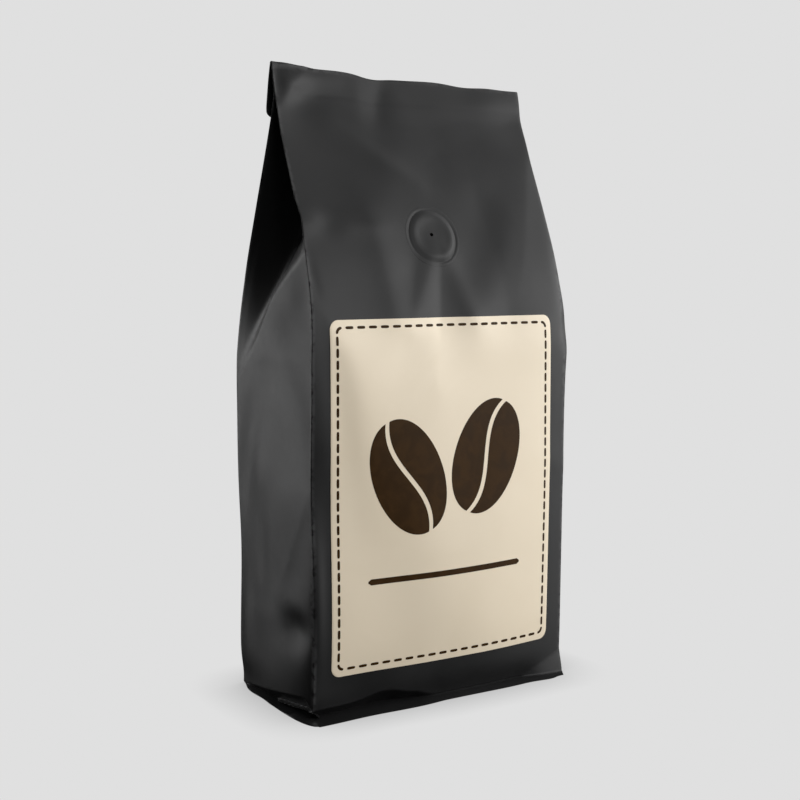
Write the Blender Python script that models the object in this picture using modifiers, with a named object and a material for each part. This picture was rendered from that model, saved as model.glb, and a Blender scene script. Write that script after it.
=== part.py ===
"""A sealed coffee bag of black film: filled body, side gussets, folded-over top, valve and label.

The width runs along X, the front faces -Y and the flat base rests on Z = 0, with the origin at
the middle of its outline. Sizes are in metres.
"""

import math

import bmesh
import bpy
import numpy as np
from mathutils import Vector

MM = 0.001

# Body: distances of the upright edges from the middle planes, and the heights where they turn.
HALF_WIDTH_AT_BASE = 60.1 * MM
HALF_WIDTH_AT_SHOULDER = 60.9 * MM
HALF_WIDTH_AT_PINCH = 59.8 * MM
HALF_WIDTH_AT_NECK = 59.9 * MM
FRONT_AT_BASE = 28.7 * MM
FRONT_AT_SHOULDER = 30.0 * MM
BACK_OF_BODY = 31.6 * MM
SHOULDER_HEIGHT = 135 * MM
PINCH_HEIGHT = 164 * MM
EDGE_RADIUS = 2.0 * MM
EDGE_RADIUS_SHARE = 0.25

# Roof: the front and back panels lean together and would meet at these heights.
FRONT_SLOPE = 0.41
FRONT_MEETING_HEIGHT = 233.55 * MM
FRONT_BLEND = 10 * MM
BACK_SLOPE = 0.39
BACK_MEETING_HEIGHT = 232.6 * MM
BACK_BLEND = 12 * MM

# Neck: the pressed-flat band above the roof, leaning back, with the flap folded down behind it.
NECK_START = 226 * MM
NECK_FRONT_AT_START = 3.1 * MM
NECK_LEAN = 0.23
BODY_TOP = 233 * MM
HEIGHT = 246 * MM
NECK_HALF_WIDTH = 59.6 * MM
NECK_THICKNESS = 0.8 * MM
NECK_INSET = 0.17 * MM
NECK_ROOT = 230.8 * MM
FOLD_RADIUS = 0.55 * MM
FLAP_END = 228 * MM
FLAP_STANDOFF = 3.66 * MM
FLAP_CURVE = 1.3
NECK_STEPS = 3
FOLD_STEPS = 6
FLAP_STEPS = 6

# Bulges of the panels that the filling pushes out.
FRONT_BULGE = 3.4 * MM
FRONT_BULGE_HEIGHT = 80 * MM
BACK_BULGE = 2.0 * MM
BACK_BULGE_HEIGHT = 90 * MM
BULGE_SPREAD = 85 * MM
SIDE_BULGE = 1.2 * MM
SIDE_BULGE_FADE = 2 * MM
PANEL_ROUNDNESS = 4

# Gusset: above a slanting ridge the side folds inwards, down to a valley at its half width.
GUSSET_HALF_WIDTH = 30.7 * MM
RIDGE_AT_FRONT = 174 * MM
RIDGE_AT_BACK = 137 * MM
RIDGE_FRONT_DEPTH = 23.5 * MM
RIDGE_BACK_DEPTH = 31 * MM
GUSSET_DEPTH_AT_NECK = 30 * MM
GUSSET_TOP = 232 * MM
GUSSET_CLOSE_START = 226.5 * MM
GUSSET_CLOSE_END = 230.2 * MM
RIDGE_BLEND = 5 * MM
VALLEY_BLEND = 5 * MM
LEAST_BLEND = 0.01 * MM
LEAST_VALLEY_DEPTH = 2 * MM
BLEND_RISE = 0.25

# Foot: the folded base lies flat on the ground, and the film above it rolls under.
BASE_FOLD_THICKNESS = 1.0 * MM
FOOT_SPREAD_IN_FRONT = 2.8 * MM
FOOT_SPREAD_TO_SIDES = 0.6 * MM
FOOT_SHRINK_BEHIND = 1.7 * MM
FOOT_SPREAD_HEIGHT = 2.5 * MM
ROLL_HEIGHT_AT_FRONT = 10 * MM
ROLL_HEIGHT_AT_BACK = 4 * MM
ROLL_SHARE = 0.6
ROLL_END_SHARE = 0.12
FOOT_ROWS_TOP = 12 * MM

# Valve: a turned disc seated in a pocket of the sloping front.
VALVE_X = -0.9 * MM
VALVE_HEIGHT = 182.5 * MM
VALVE_RADIUS = 10.2 * MM
VALVE_PROUD = 0.8 * MM
VALVE_CHAMFER = 0.3 * MM
VALVE_BURIED = 1.7 * MM
VALVE_GROOVE_RADIUS = 8.6 * MM
VALVE_GROOVE_HALF_WIDTH = 0.9 * MM
VALVE_GROOVE_DEPTH = 0.5 * MM
VALVE_DISC_RADIUS = 6.2 * MM
VALVE_DISH_SLOPE_WIDTH = 1.5 * MM
VALVE_DISH_DEPTH = 0.3 * MM
PINHOLE_RADIUS = 0.5 * MM
PINHOLE_DEPTH = 1.2 * MM
VALVE_STEPS = 32
VALVE_GROOVE_STEPS = 5
POCKET_REACH = 6 * MM
CLEARANCE = 0.3 * MM

# Label: a thin sheet with round corners that follows the front.
LABEL_WIDTH = 104.2 * MM
LABEL_BOTTOM = 16.0 * MM
LABEL_TOP = 150.4 * MM
LABEL_X = -0.6 * MM
LABEL_CORNER = 3.8 * MM
LABEL_THICKNESS = 0.4 * MM
LABEL_COLUMNS = 18
LABEL_ROWS = 18
LABEL_CORNER_STEPS = 3

# Finishes: linear colours and roughness.
FILM_COLOUR = (0.016, 0.016, 0.017)
FILM_ROUGHNESS = 0.42
PAPER_COLOUR = (0.68, 0.59, 0.46)
PAPER_ROUGHNESS = 0.5

# Mesh steps: columns of each panel over half the bag, and rows of each stretch of height.
FRONT_COLUMNS = 8
CORNER_STEPS = 2
SIDE_COLUMNS = 18
BACK_COLUMNS = 6
FOOT_ROWS = 6
BODY_ROWS = 10
SHOULDER_ROWS = 9
ROOF_ROWS = 9
CLOSE_ROWS = 5
SIDE_SAMPLES = 240
NORMAL_STEP = 1 * MM
MERGE_DISTANCE = 0.01 * MM
SHARP_ANGLE = math.radians(35)


def smooth_min(first, second, blend):
    """The lower of two values, with the corner between them rounded off."""
    overlap = np.maximum(blend - np.abs(first - second), 0.0)
    return np.minimum(first, second) - overlap**2 / (4 * blend)


def smooth_max(first, second, blend):
    """The higher of two values, with the corner between them rounded off."""
    return -smooth_min(-first, -second, blend)


def bump(value, middle, spread):
    """A bell curve of height one."""
    return np.exp(-(((value - middle) / spread) ** 2))


def foot_share(height):
    """How much of the change of outline at the ground is left at a height, from one down to zero."""
    return np.exp(-height / FOOT_SPREAD_HEIGHT)


def half_width(height):
    """Distance of the upright edges from the middle, to the left or right."""
    heights = (0, SHOULDER_HEIGHT, PINCH_HEIGHT, NECK_START)
    widths = (HALF_WIDTH_AT_BASE, HALF_WIDTH_AT_SHOULDER, HALF_WIDTH_AT_PINCH, HALF_WIDTH_AT_NECK)
    return np.interp(height, heights, widths) + FOOT_SPREAD_TO_SIDES * foot_share(height)


def neck_front(height):
    """Distance of the neck's front face ahead of the middle plane; it leans back as it rises."""
    return NECK_FRONT_AT_START - NECK_LEAN * (height - NECK_START)


def front_edge(height):
    """Distance of the front upright edges ahead of the middle plane."""
    body = FRONT_AT_BASE + (FRONT_AT_SHOULDER - FRONT_AT_BASE) * height / SHOULDER_HEIGHT
    roof = FRONT_SLOPE * (FRONT_MEETING_HEIGHT - height)
    wall = smooth_min(body, np.maximum(roof, neck_front(height)), FRONT_BLEND)
    return wall + FOOT_SPREAD_IN_FRONT * foot_share(height)


def back_edge(height):
    """Distance of the back upright edges behind the middle plane."""
    roof = BACK_SLOPE * (BACK_MEETING_HEIGHT - height)
    return smooth_min(BACK_OF_BODY, roof, BACK_BLEND) - FOOT_SHRINK_BEHIND * foot_share(height)


def front_face(x, height):
    """Distance of the front panel ahead of the middle plane."""
    across = 1 - np.abs(x / half_width(height)) ** PANEL_ROUNDNESS
    return front_edge(height) + FRONT_BULGE * bump(height, FRONT_BULGE_HEIGHT, BULGE_SPREAD) * across


def back_face(x, height):
    """Distance of the back panel behind the middle plane."""
    across = 1 - np.abs(x / half_width(height)) ** PANEL_ROUNDNESS
    return back_edge(height) + BACK_BULGE * bump(height, BACK_BULGE_HEIGHT, BULGE_SPREAD) * across


def edge_radius(height):
    """Radius of the upright edges, which shrinks as the panels come together at the neck."""
    return min(EDGE_RADIUS, EDGE_RADIUS_SHARE * (front_edge(height) + back_edge(height)))


def gusset_fold(y, height, front, back):
    """How far the side is folded in at a place, from zero at both edges to the valley."""
    mouth = (front + back) / 2
    valley_depth = math.sqrt(max(GUSSET_HALF_WIDTH**2 - mouth**2, LEAST_VALLEY_DEPTH**2))
    front_leg = (y + front) * valley_depth / mouth
    back_leg = (back - y) * valley_depth / mouth
    across = (y + RIDGE_FRONT_DEPTH) / (RIDGE_FRONT_DEPTH + RIDGE_BACK_DEPTH)
    ridge_height = RIDGE_AT_FRONT + (RIDGE_AT_BACK - RIDGE_AT_FRONT) * across
    middle = RIDGE_FRONT_DEPTH / (RIDGE_FRONT_DEPTH + RIDGE_BACK_DEPTH)
    ridge_at_middle = RIDGE_AT_FRONT + (RIDGE_AT_BACK - RIDGE_AT_FRONT) * middle
    slope = GUSSET_DEPTH_AT_NECK / (GUSSET_TOP - ridge_at_middle)
    facet = slope * (height - ridge_height)
    legs = smooth_min(front_leg, back_leg, VALLEY_BLEND)
    to_edge = np.minimum(y + front, back - y)
    blend = np.clip(to_edge, LEAST_BLEND, RIDGE_BLEND)
    rounded = smooth_max(smooth_min(facet, legs, blend), 0.0, blend)
    fold = np.maximum(rounded - BLEND_RISE * blend, 0.0)
    closing = np.clip((GUSSET_CLOSE_END - height) / (GUSSET_CLOSE_END - GUSSET_CLOSE_START), 0, 1)
    return fold * closing


def foot_roll(y, height, front, back):
    """How far the lower side rolls in above the base fold; the roll is taller towards the front."""
    along = (y + front) / (front + back)
    roll = ROLL_HEIGHT_AT_FRONT + (ROLL_HEIGHT_AT_BACK - ROLL_HEIGHT_AT_FRONT) * along
    up = np.clip((height - BASE_FOLD_THICKNESS) / (roll - BASE_FOLD_THICKNESS), 0, 1)
    ends = np.clip(np.minimum(along, 1 - along) / ROLL_END_SHARE, 0, 1)
    return ROLL_SHARE * roll * np.sin(math.pi * up) * ends


def side_outline(height):
    """Points (x, y) of the left side from its front edge to its back edge, evenly spaced."""
    radius = edge_radius(height)
    front = front_edge(height) - radius
    back = back_edge(height) - radius
    y = np.linspace(-front, back, SIDE_SAMPLES)
    along = (y + front) / (front + back)
    fold = gusset_fold(y, height, front, back)
    flat = np.clip(1 - fold / SIDE_BULGE_FADE, 0, 1)
    rise = np.clip(height / RIDGE_AT_BACK, 0, 1) * (height <= NECK_START)
    bulge = SIDE_BULGE * np.sin(math.pi * along) * flat * rise
    x = -half_width(height) - bulge + fold + foot_roll(y, height, front, back)
    length = np.concatenate([[0], np.cumsum(np.hypot(np.diff(x), np.diff(y)))])
    even = np.linspace(0, length[-1], SIDE_COLUMNS + 1)
    return np.column_stack([np.interp(even, length, x), np.interp(even, length, y)])


def corner_points(corner_x, corner_y, start_angle, turn, radius):
    """Points between the ends of a quarter circle about a centre."""
    steps = np.arange(1, CORNER_STEPS) / CORNER_STEPS
    angles = start_angle + turn * steps
    return np.column_stack([corner_x + radius * np.cos(angles), corner_y + radius * np.sin(angles)])


def half_ring(height):
    """Points (x, y) of the left half outline, from the middle of the front to the middle of the back."""
    radius = edge_radius(height)
    width = half_width(height)
    front_x = np.linspace(0, -(width - radius), FRONT_COLUMNS + 1)
    front = np.column_stack([front_x, -front_face(front_x, height)])
    back_x = np.linspace(-(width - radius), 0, BACK_COLUMNS + 1)
    back = np.column_stack([back_x, back_face(back_x, height)])
    quarter = math.pi / 2
    centre_x = -(width - radius)
    front_corner = corner_points(centre_x, -(front_edge(height) - radius), -quarter, -quarter, radius)
    back_corner = corner_points(centre_x, back_edge(height) - radius, -2 * quarter, -quarter, radius)
    return np.concatenate([front, front_corner, side_outline(height), back_corner, back])


def row_heights():
    """Heights of the outline rows, closer together where the shape turns."""
    foot = np.linspace(BASE_FOLD_THICKNESS, FOOT_ROWS_TOP, FOOT_ROWS, endpoint=False)
    body = np.linspace(FOOT_ROWS_TOP, SHOULDER_HEIGHT, BODY_ROWS, endpoint=False)
    shoulder = np.linspace(SHOULDER_HEIGHT, RIDGE_AT_FRONT, SHOULDER_ROWS, endpoint=False)
    roof = np.linspace(RIDGE_AT_FRONT, GUSSET_CLOSE_START, ROOF_ROWS, endpoint=False)
    closing = np.linspace(GUSSET_CLOSE_START, GUSSET_CLOSE_END, CLOSE_ROWS)
    return np.concatenate([[0], foot, body, shoulder, roof, closing, [BODY_TOP]])


def new_object(name, mesh, collection):
    """An object of this mesh in a collection, shaded smooth except at sharp edges."""
    mesh.shade_smooth()
    mesh.set_sharp_from_angle(angle=SHARP_ANGLE)
    obj = bpy.data.objects.new(name, mesh)
    collection.objects.link(obj)
    return obj


def mesh_from_grid(name, grid, capped):
    """A mesh of quads over rows of points, with a face across the first and last row if capped."""
    shape = bmesh.new()
    rows = [[shape.verts.new(point) for point in row] for row in grid]
    for lower, upper in zip(rows, rows[1:]):
        for i in range(len(lower) - 1):
            shape.faces.new((lower[i], upper[i], upper[i + 1], lower[i + 1]))
    if capped:
        shape.faces.new(rows[0])
        shape.faces.new(reversed(rows[-1]))
    mesh = bpy.data.meshes.new(name)
    shape.to_mesh(mesh)
    shape.free()
    return mesh


def material(name, colour, roughness):
    """A plain material of one colour."""
    made = bpy.data.materials.new(name)
    made.use_nodes = True
    shader = made.node_tree.nodes["Principled BSDF"]
    shader.inputs["Base Color"].default_value = (*colour, 1)
    shader.inputs["Roughness"].default_value = roughness
    made.diffuse_color = (*colour, 1)
    return made


def panel_frame(x, height):
    """The point of the front panel at a place, and its outward normal."""
    step = NORMAL_STEP
    point = Vector((x, -float(front_face(x, height)), height))
    across = Vector((2 * step, float(front_face(x - step, height) - front_face(x + step, height)), 0))
    up = Vector((0, float(front_face(x, height - step) - front_face(x, height + step)), 2 * step))
    return point, across.cross(up).normalized()


def neck_profile():
    """Points (y, z) of the middle of the folded top: up the neck, over the fold and down the flap."""
    arc_height = HEIGHT - FOLD_RADIUS - NECK_THICKNESS / 2
    root_y = -neck_front(NECK_ROOT) + NECK_INSET + NECK_THICKNESS / 2
    top_y = -neck_front(arc_height) + NECK_INSET + NECK_THICKNESS / 2
    neck = [(root_y + (top_y - root_y) * t, NECK_ROOT + (arc_height - NECK_ROOT) * t)
            for t in np.linspace(0, 1, NECK_STEPS + 1)]
    fold = [(top_y + FOLD_RADIUS * (1 - math.cos(a)), arc_height + FOLD_RADIUS * math.sin(a))
            for a in np.linspace(0, math.pi, FOLD_STEPS + 1)[1:-1]]
    flap = [(top_y + 2 * FOLD_RADIUS + FLAP_STANDOFF * (1 - (1 - t) ** FLAP_CURVE),
             arc_height + (FLAP_END - arc_height) * t) for t in np.linspace(0, 1, FLAP_STEPS + 1)]
    return neck + fold + flap


def make_folded_top(guides):
    """The pressed neck and the flap folded down behind it, to be joined to the body."""
    grid = [[(x, y, z) for x in (-NECK_HALF_WIDTH, NECK_HALF_WIDTH)] for y, z in neck_profile()]
    top = new_object("folded_top", mesh_from_grid("folded_top", grid, capped=False), guides)
    solidify = top.modifiers.new("film", "SOLIDIFY")
    solidify.thickness = NECK_THICKNESS
    solidify.offset = 0
    solidify.use_even_offset = True
    return top


def make_valve_pocket(guides, point, normal):
    """The round pocket that the valve sits in."""
    radius = VALVE_RADIUS + CLEARANCE
    depth = VALVE_BURIED + CLEARANCE
    bpy.ops.mesh.primitive_cylinder_add(
        vertices=VALVE_STEPS, radius=radius, depth=depth + POCKET_REACH,
        location=point + normal * (POCKET_REACH - depth) / 2,
        rotation=normal.to_track_quat("Z", "Y").to_euler())
    pocket = bpy.context.object
    pocket.name = "valve_pocket"
    for collection in list(pocket.users_collection):
        collection.objects.unlink(pocket)
    guides.objects.link(pocket)
    return pocket


def add_boolean(obj, operation, other):
    """Joins the other object to this one, or cuts it out."""
    modifier = obj.modifiers.new(other.name, "BOOLEAN")
    modifier.operation = operation
    modifier.solver = "EXACT"
    modifier.object = other
    other.hide_render = True
    other.display_type = "WIRE"


def make_bag(parts, guides, film):
    """The filled film bag: half of it as rows of outlines, mirrored, with the folded top joined on."""
    grid = [[(x, y, height) for x, y in half_ring(height)] for height in row_heights()]
    bag = new_object("bag", mesh_from_grid("bag", grid, capped=True), parts)
    bag.data.materials.append(film)
    mirror = bag.modifiers.new("both_sides", "MIRROR")
    mirror.merge_threshold = MERGE_DISTANCE
    add_boolean(bag, "UNION", make_folded_top(guides))
    add_boolean(bag, "DIFFERENCE", make_valve_pocket(guides, *panel_frame(VALVE_X, VALVE_HEIGHT)))
    return bag


def valve_outline():
    """Points (radius, height) of the valve's profile, down from the pinhole round to the axis below."""
    dish = VALVE_PROUD - VALVE_DISH_DEPTH
    steps = VALVE_GROOVE_STEPS
    groove = [(VALVE_GROOVE_RADIUS - VALVE_GROOVE_HALF_WIDTH * math.cos(a),
               VALVE_PROUD - VALVE_GROOVE_DEPTH * math.sin(a)) for a in np.linspace(0, math.pi, steps + 1)]
    rim = VALVE_RADIUS - VALVE_CHAMFER
    return [(0, dish - PINHOLE_DEPTH), (PINHOLE_RADIUS, dish - PINHOLE_DEPTH), (PINHOLE_RADIUS, dish),
            (VALVE_DISC_RADIUS - VALVE_DISH_SLOPE_WIDTH, dish), (VALVE_DISC_RADIUS, VALVE_PROUD), *groove,
            (rim, VALVE_PROUD), (VALVE_RADIUS, VALVE_PROUD - VALVE_CHAMFER), (VALVE_RADIUS, -VALVE_BURIED),
            (0, -VALVE_BURIED)]


def make_valve(parts, film):
    """The one-way valve: a turned disc with a dished middle, a ring groove and a pinhole."""
    point, normal = panel_frame(VALVE_X, VALVE_HEIGHT)
    shape = bmesh.new()
    verts = [shape.verts.new((radius, 0, height)) for radius, height in valve_outline()]
    for first, second in zip(verts, verts[1:]):
        shape.edges.new((first, second))
    mesh = bpy.data.meshes.new("valve")
    shape.to_mesh(mesh)
    shape.free()
    mesh.materials.append(film)
    valve = new_object("valve", mesh, parts)
    screw = valve.modifiers.new("turn", "SCREW")
    screw.steps = VALVE_STEPS
    screw.render_steps = VALVE_STEPS
    screw.use_merge_vertices = True
    screw.merge_threshold = MERGE_DISTANCE
    valve.location = point
    valve.rotation_euler = normal.to_track_quat("Z", "Y").to_euler()
    return valve


def label_rows():
    """Pairs (height, half width) down the label, with its round corners."""
    angles = np.linspace(0, math.pi / 2, LABEL_CORNER_STEPS + 1)
    straight = LABEL_WIDTH / 2 - LABEL_CORNER
    bottom = [(LABEL_BOTTOM + LABEL_CORNER * (1 - math.cos(a)), straight + LABEL_CORNER * math.sin(a))
              for a in angles]
    top = [(LABEL_TOP + LABEL_BOTTOM - height, width) for height, width in reversed(bottom)]
    heights = np.linspace(bottom[-1][0], top[0][0], LABEL_ROWS)[1:-1]
    return bottom + [(height, LABEL_WIDTH / 2) for height in heights] + top


def make_label(parts, paper):
    """The label: a sheet that follows the front panel with a hair of clearance."""
    out = CLEARANCE + LABEL_THICKNESS / 2
    grid = []
    for height, width in label_rows():
        across = LABEL_X + np.linspace(-width, width, LABEL_COLUMNS + 1)
        grid.append([(x, -float(front_face(x, height)) - out, height) for x in across])
    label = new_object("label", mesh_from_grid("label", grid, capped=False), parts)
    label.data.materials.append(paper)
    solidify = label.modifiers.new("sheet", "SOLIDIFY")
    solidify.thickness = LABEL_THICKNESS
    solidify.offset = 0
    return label


def main():
    """Clears the scene and makes the bag, the valve and the label."""
    for obj in list(bpy.data.objects):
        bpy.data.objects.remove(obj)
    parts = bpy.data.collections.new("coffee_bag")
    guides = bpy.data.collections.new("cutters")
    guides.hide_render = True
    for collection in (parts, guides):
        bpy.context.scene.collection.children.link(collection)
    film = material("black_film", FILM_COLOUR, FILM_ROUGHNESS)
    paper = material("cream_paper", PAPER_COLOUR, PAPER_ROUGHNESS)
    make_bag(parts, guides, film)
    make_valve(parts, film)
    make_label(parts, paper)


main()
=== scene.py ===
"""Looks of a sealed coffee bag: black film with folded-in sides, a folded-over top, a valve and a label.

The width runs along X, the front faces -Y and the base rests on Z = 0. Sizes are in metres.
"""

import logging
import math
from dataclasses import dataclass, field
from enum import Enum

import bpy
import numpy as np
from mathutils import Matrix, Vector


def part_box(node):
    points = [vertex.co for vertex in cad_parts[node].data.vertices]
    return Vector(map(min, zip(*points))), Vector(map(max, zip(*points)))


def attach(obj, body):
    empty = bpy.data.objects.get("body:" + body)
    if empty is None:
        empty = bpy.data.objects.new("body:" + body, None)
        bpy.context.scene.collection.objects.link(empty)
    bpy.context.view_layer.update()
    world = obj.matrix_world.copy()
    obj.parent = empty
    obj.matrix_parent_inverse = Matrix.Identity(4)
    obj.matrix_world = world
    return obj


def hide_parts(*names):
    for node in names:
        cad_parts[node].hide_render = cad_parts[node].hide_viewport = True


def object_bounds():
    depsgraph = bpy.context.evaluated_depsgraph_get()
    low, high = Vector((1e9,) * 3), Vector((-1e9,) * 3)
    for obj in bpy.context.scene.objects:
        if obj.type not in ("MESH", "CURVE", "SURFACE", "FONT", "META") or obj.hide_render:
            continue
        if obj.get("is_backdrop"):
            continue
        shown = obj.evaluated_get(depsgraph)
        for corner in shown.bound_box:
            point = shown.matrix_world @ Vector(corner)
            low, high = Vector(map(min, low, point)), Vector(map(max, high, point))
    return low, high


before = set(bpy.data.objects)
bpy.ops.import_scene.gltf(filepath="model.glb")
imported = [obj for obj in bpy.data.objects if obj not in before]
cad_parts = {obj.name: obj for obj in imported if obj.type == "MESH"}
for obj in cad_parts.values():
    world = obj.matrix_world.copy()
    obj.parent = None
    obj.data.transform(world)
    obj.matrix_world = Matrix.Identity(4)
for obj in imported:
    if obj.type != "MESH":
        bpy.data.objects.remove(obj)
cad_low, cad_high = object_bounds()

MM = 0.001
WELD_DISTANCE = 0.004 * MM
SLIVER_WIDTH = 0.002 * MM
# point layer that says where the film's finish paints a highlight along its folds
CREASE_LAYER = "crease"
COLOUR_A, COLOUR_B, MIXED_COLOUR = 6, 7, 2
log = logging.getLogger("coffee_bag")


def smooth_min(first: np.ndarray, second: np.ndarray, blend: float | np.ndarray) -> np.ndarray:
    """The lower of two values, with the corner between them rounded off.

    Args:
        first: One set of values.
        second: The other set of values.
        blend: Difference of the two from which the rounding starts.

    Returns:
        The rounded lower values.
    """
    overlap = np.maximum(blend - np.abs(first - second), 0.0)
    return np.minimum(first, second) - overlap**2 / (4 * blend)


def smooth_max(first: np.ndarray, second: np.ndarray, blend: float | np.ndarray) -> np.ndarray:
    """The higher of two values, with the corner between them rounded off."""
    return -smooth_min(-first, -second, blend)


def smooth_step(value: np.ndarray, start: float, end: float) -> np.ndarray:
    """Zero before the start, one after the end, with a soft run between them."""
    t = np.clip((value - start) / (end - start), 0.0, 1.0)
    return t * t * (3 - 2 * t)


def bell(value: np.ndarray, middle: float, spread: float) -> np.ndarray:
    """A bell curve of height one."""
    return np.exp(-(((value - middle) / spread) ** 2))


@dataclass(frozen=True)
class Bump:
    """A bell-shaped rise along one direction or, when negative, a dip. Its sizes are in millimetres."""

    rise: float
    middle: float
    spread: float

    def at(self, place: np.ndarray) -> np.ndarray:
        """The rise, in metres, at places in metres."""
        return self.rise * MM * bell(place, self.middle * MM, self.spread * MM)


@dataclass(frozen=True)
class Ramp:
    """A soft run from zero to one along one direction. Its bounds are in millimetres."""

    start: float
    end: float

    def at(self, place: np.ndarray) -> np.ndarray:
        """The share reached at places in metres."""
        return smooth_step(place, self.start * MM, self.end * MM)


def total_rise(bumps: tuple[Bump, ...], place: np.ndarray) -> np.ndarray:
    """The summed rise, in metres, of several bumps at places in metres."""
    return sum(bump.at(place) for bump in bumps)


@dataclass(frozen=True)
class Fold:
    """A long ridge of a panel or, with a negative rise, a crease pressed into it.

    Its ends are (across, height) on the panel. They and its other sizes are in millimetres.
    """

    start: tuple[float, float]
    end: tuple[float, float]
    rise: float
    left: float
    right: float
    roundness: float
    end_falloff: float = 0.7

    def relief(self, across: np.ndarray, height: np.ndarray) -> np.ndarray:
        """How far the panel stands out along the fold.

        Args:
            across: Places across the panel, in millimetres.
            height: Heights of those places, in millimetres.

        Returns:
            The rise at each place, in millimetres.
        """
        run = np.subtract(self.end, self.start)
        length = float(np.hypot(*run))
        away_x, away_z = across - self.start[0], height - self.start[1]
        along = (away_x * run[0] + away_z * run[1]) / length
        aside = (away_x * run[1] - away_z * run[0]) / length
        past_end = along - np.clip(along, 0.0, length)
        width = np.where(aside < 0, self.left, self.right)
        mean = 0.5 * (self.left + self.right)
        crest = self.roundness / mean
        distance = np.hypot(np.hypot(aside / width, self.end_falloff * past_end / mean), crest)
        return self.rise * np.exp(crest - distance)


@dataclass(frozen=True)
class Swell:
    """A soft round rise of a panel or, with a negative rise, a dent.

    Its sizes are in millimetres and its turn in degrees.
    """

    centre: tuple[float, float]
    spread: tuple[float, float]
    rise: float
    turn: float = 0.0

    def relief(self, across: np.ndarray, height: np.ndarray) -> np.ndarray:
        """How far the panel stands out round the swell.

        Args:
            across: Places across the panel, in millimetres.
            height: Heights of those places, in millimetres.

        Returns:
            The rise at each place, in millimetres.
        """
        turn = math.radians(self.turn)
        away_x, away_z = across - self.centre[0], height - self.centre[1]
        first = (away_x * math.cos(turn) + away_z * math.sin(turn)) / self.spread[0]
        second = (away_z * math.cos(turn) - away_x * math.sin(turn)) / self.spread[1]
        return self.rise * np.exp(-(first**2) - second**2)


@dataclass(frozen=True)
class Facet:
    """A plane that a panel turns into on the right of a line, rising with the distance from it.

    Its places and sizes are in millimetres.
    """

    start: tuple[float, float]
    end: tuple[float, float]
    slope: float
    roundness: float
    most: float

    def relief(self, across: np.ndarray, height: np.ndarray) -> np.ndarray:
        """How far the panel stands out beyond the line.

        Args:
            across: Places across the panel, in millimetres.
            height: Heights of those places, in millimetres.

        Returns:
            The rise at each place, in millimetres.
        """
        run = np.subtract(self.end, self.start)
        away_x, away_z = across - self.start[0], height - self.start[1]
        aside = (away_x * run[1] - away_z * run[0]) / float(np.hypot(*run))
        beyond = 0.5 * (aside + np.hypot(aside, self.roundness)) - 0.5 * self.roundness
        return self.slope * self.most * np.tanh(np.maximum(beyond, 0.0) / self.most)


@dataclass(frozen=True)
class Ripples:
    """Faint uneven waves that filled film never loses: a few sines of seeded direction and phase.

    Its sizes are in millimetres.
    """

    seed: int
    rise: float
    longest: float
    shortest: float
    count: int = 14

    def relief(self, across: np.ndarray, height: np.ndarray) -> np.ndarray:
        """How far the panel stands out in the waves.

        Args:
            across: Places across the panel, in millimetres.
            height: Heights of those places, in millimetres.

        Returns:
            The rise at each place, in millimetres.
        """
        draw = np.random.default_rng(self.seed)
        total = np.zeros(np.broadcast(across, height).shape)
        for _ in range(self.count):
            length = draw.uniform(self.shortest, self.longest)
            heading, phase = draw.uniform(0, math.pi), draw.uniform(0, 2 * math.pi)
            way = across * math.cos(heading) + height * math.sin(heading)
            total += (length / self.longest) * np.sin(2 * math.pi * way / length + phase)
        return self.rise * total / math.sqrt(self.count)


Relief = Fold | Swell | Facet | Ripples


def total_relief(features: list[Relief], across: np.ndarray, height: np.ndarray) -> np.ndarray:
    """The summed relief of a panel's features.

    Args:
        features: The folds, swells, facets and ripples of the panel.
        across: Places across the panel, in metres.
        height: Heights of those places, in metres.

    Returns:
        The rise at each place, in metres.
    """
    across_mm, height_mm = np.broadcast_arrays(np.asarray(across) / MM, np.asarray(height) / MM)
    return MM * sum((one.relief(across_mm, height_mm) for one in features), np.zeros(across_mm.shape))


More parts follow.
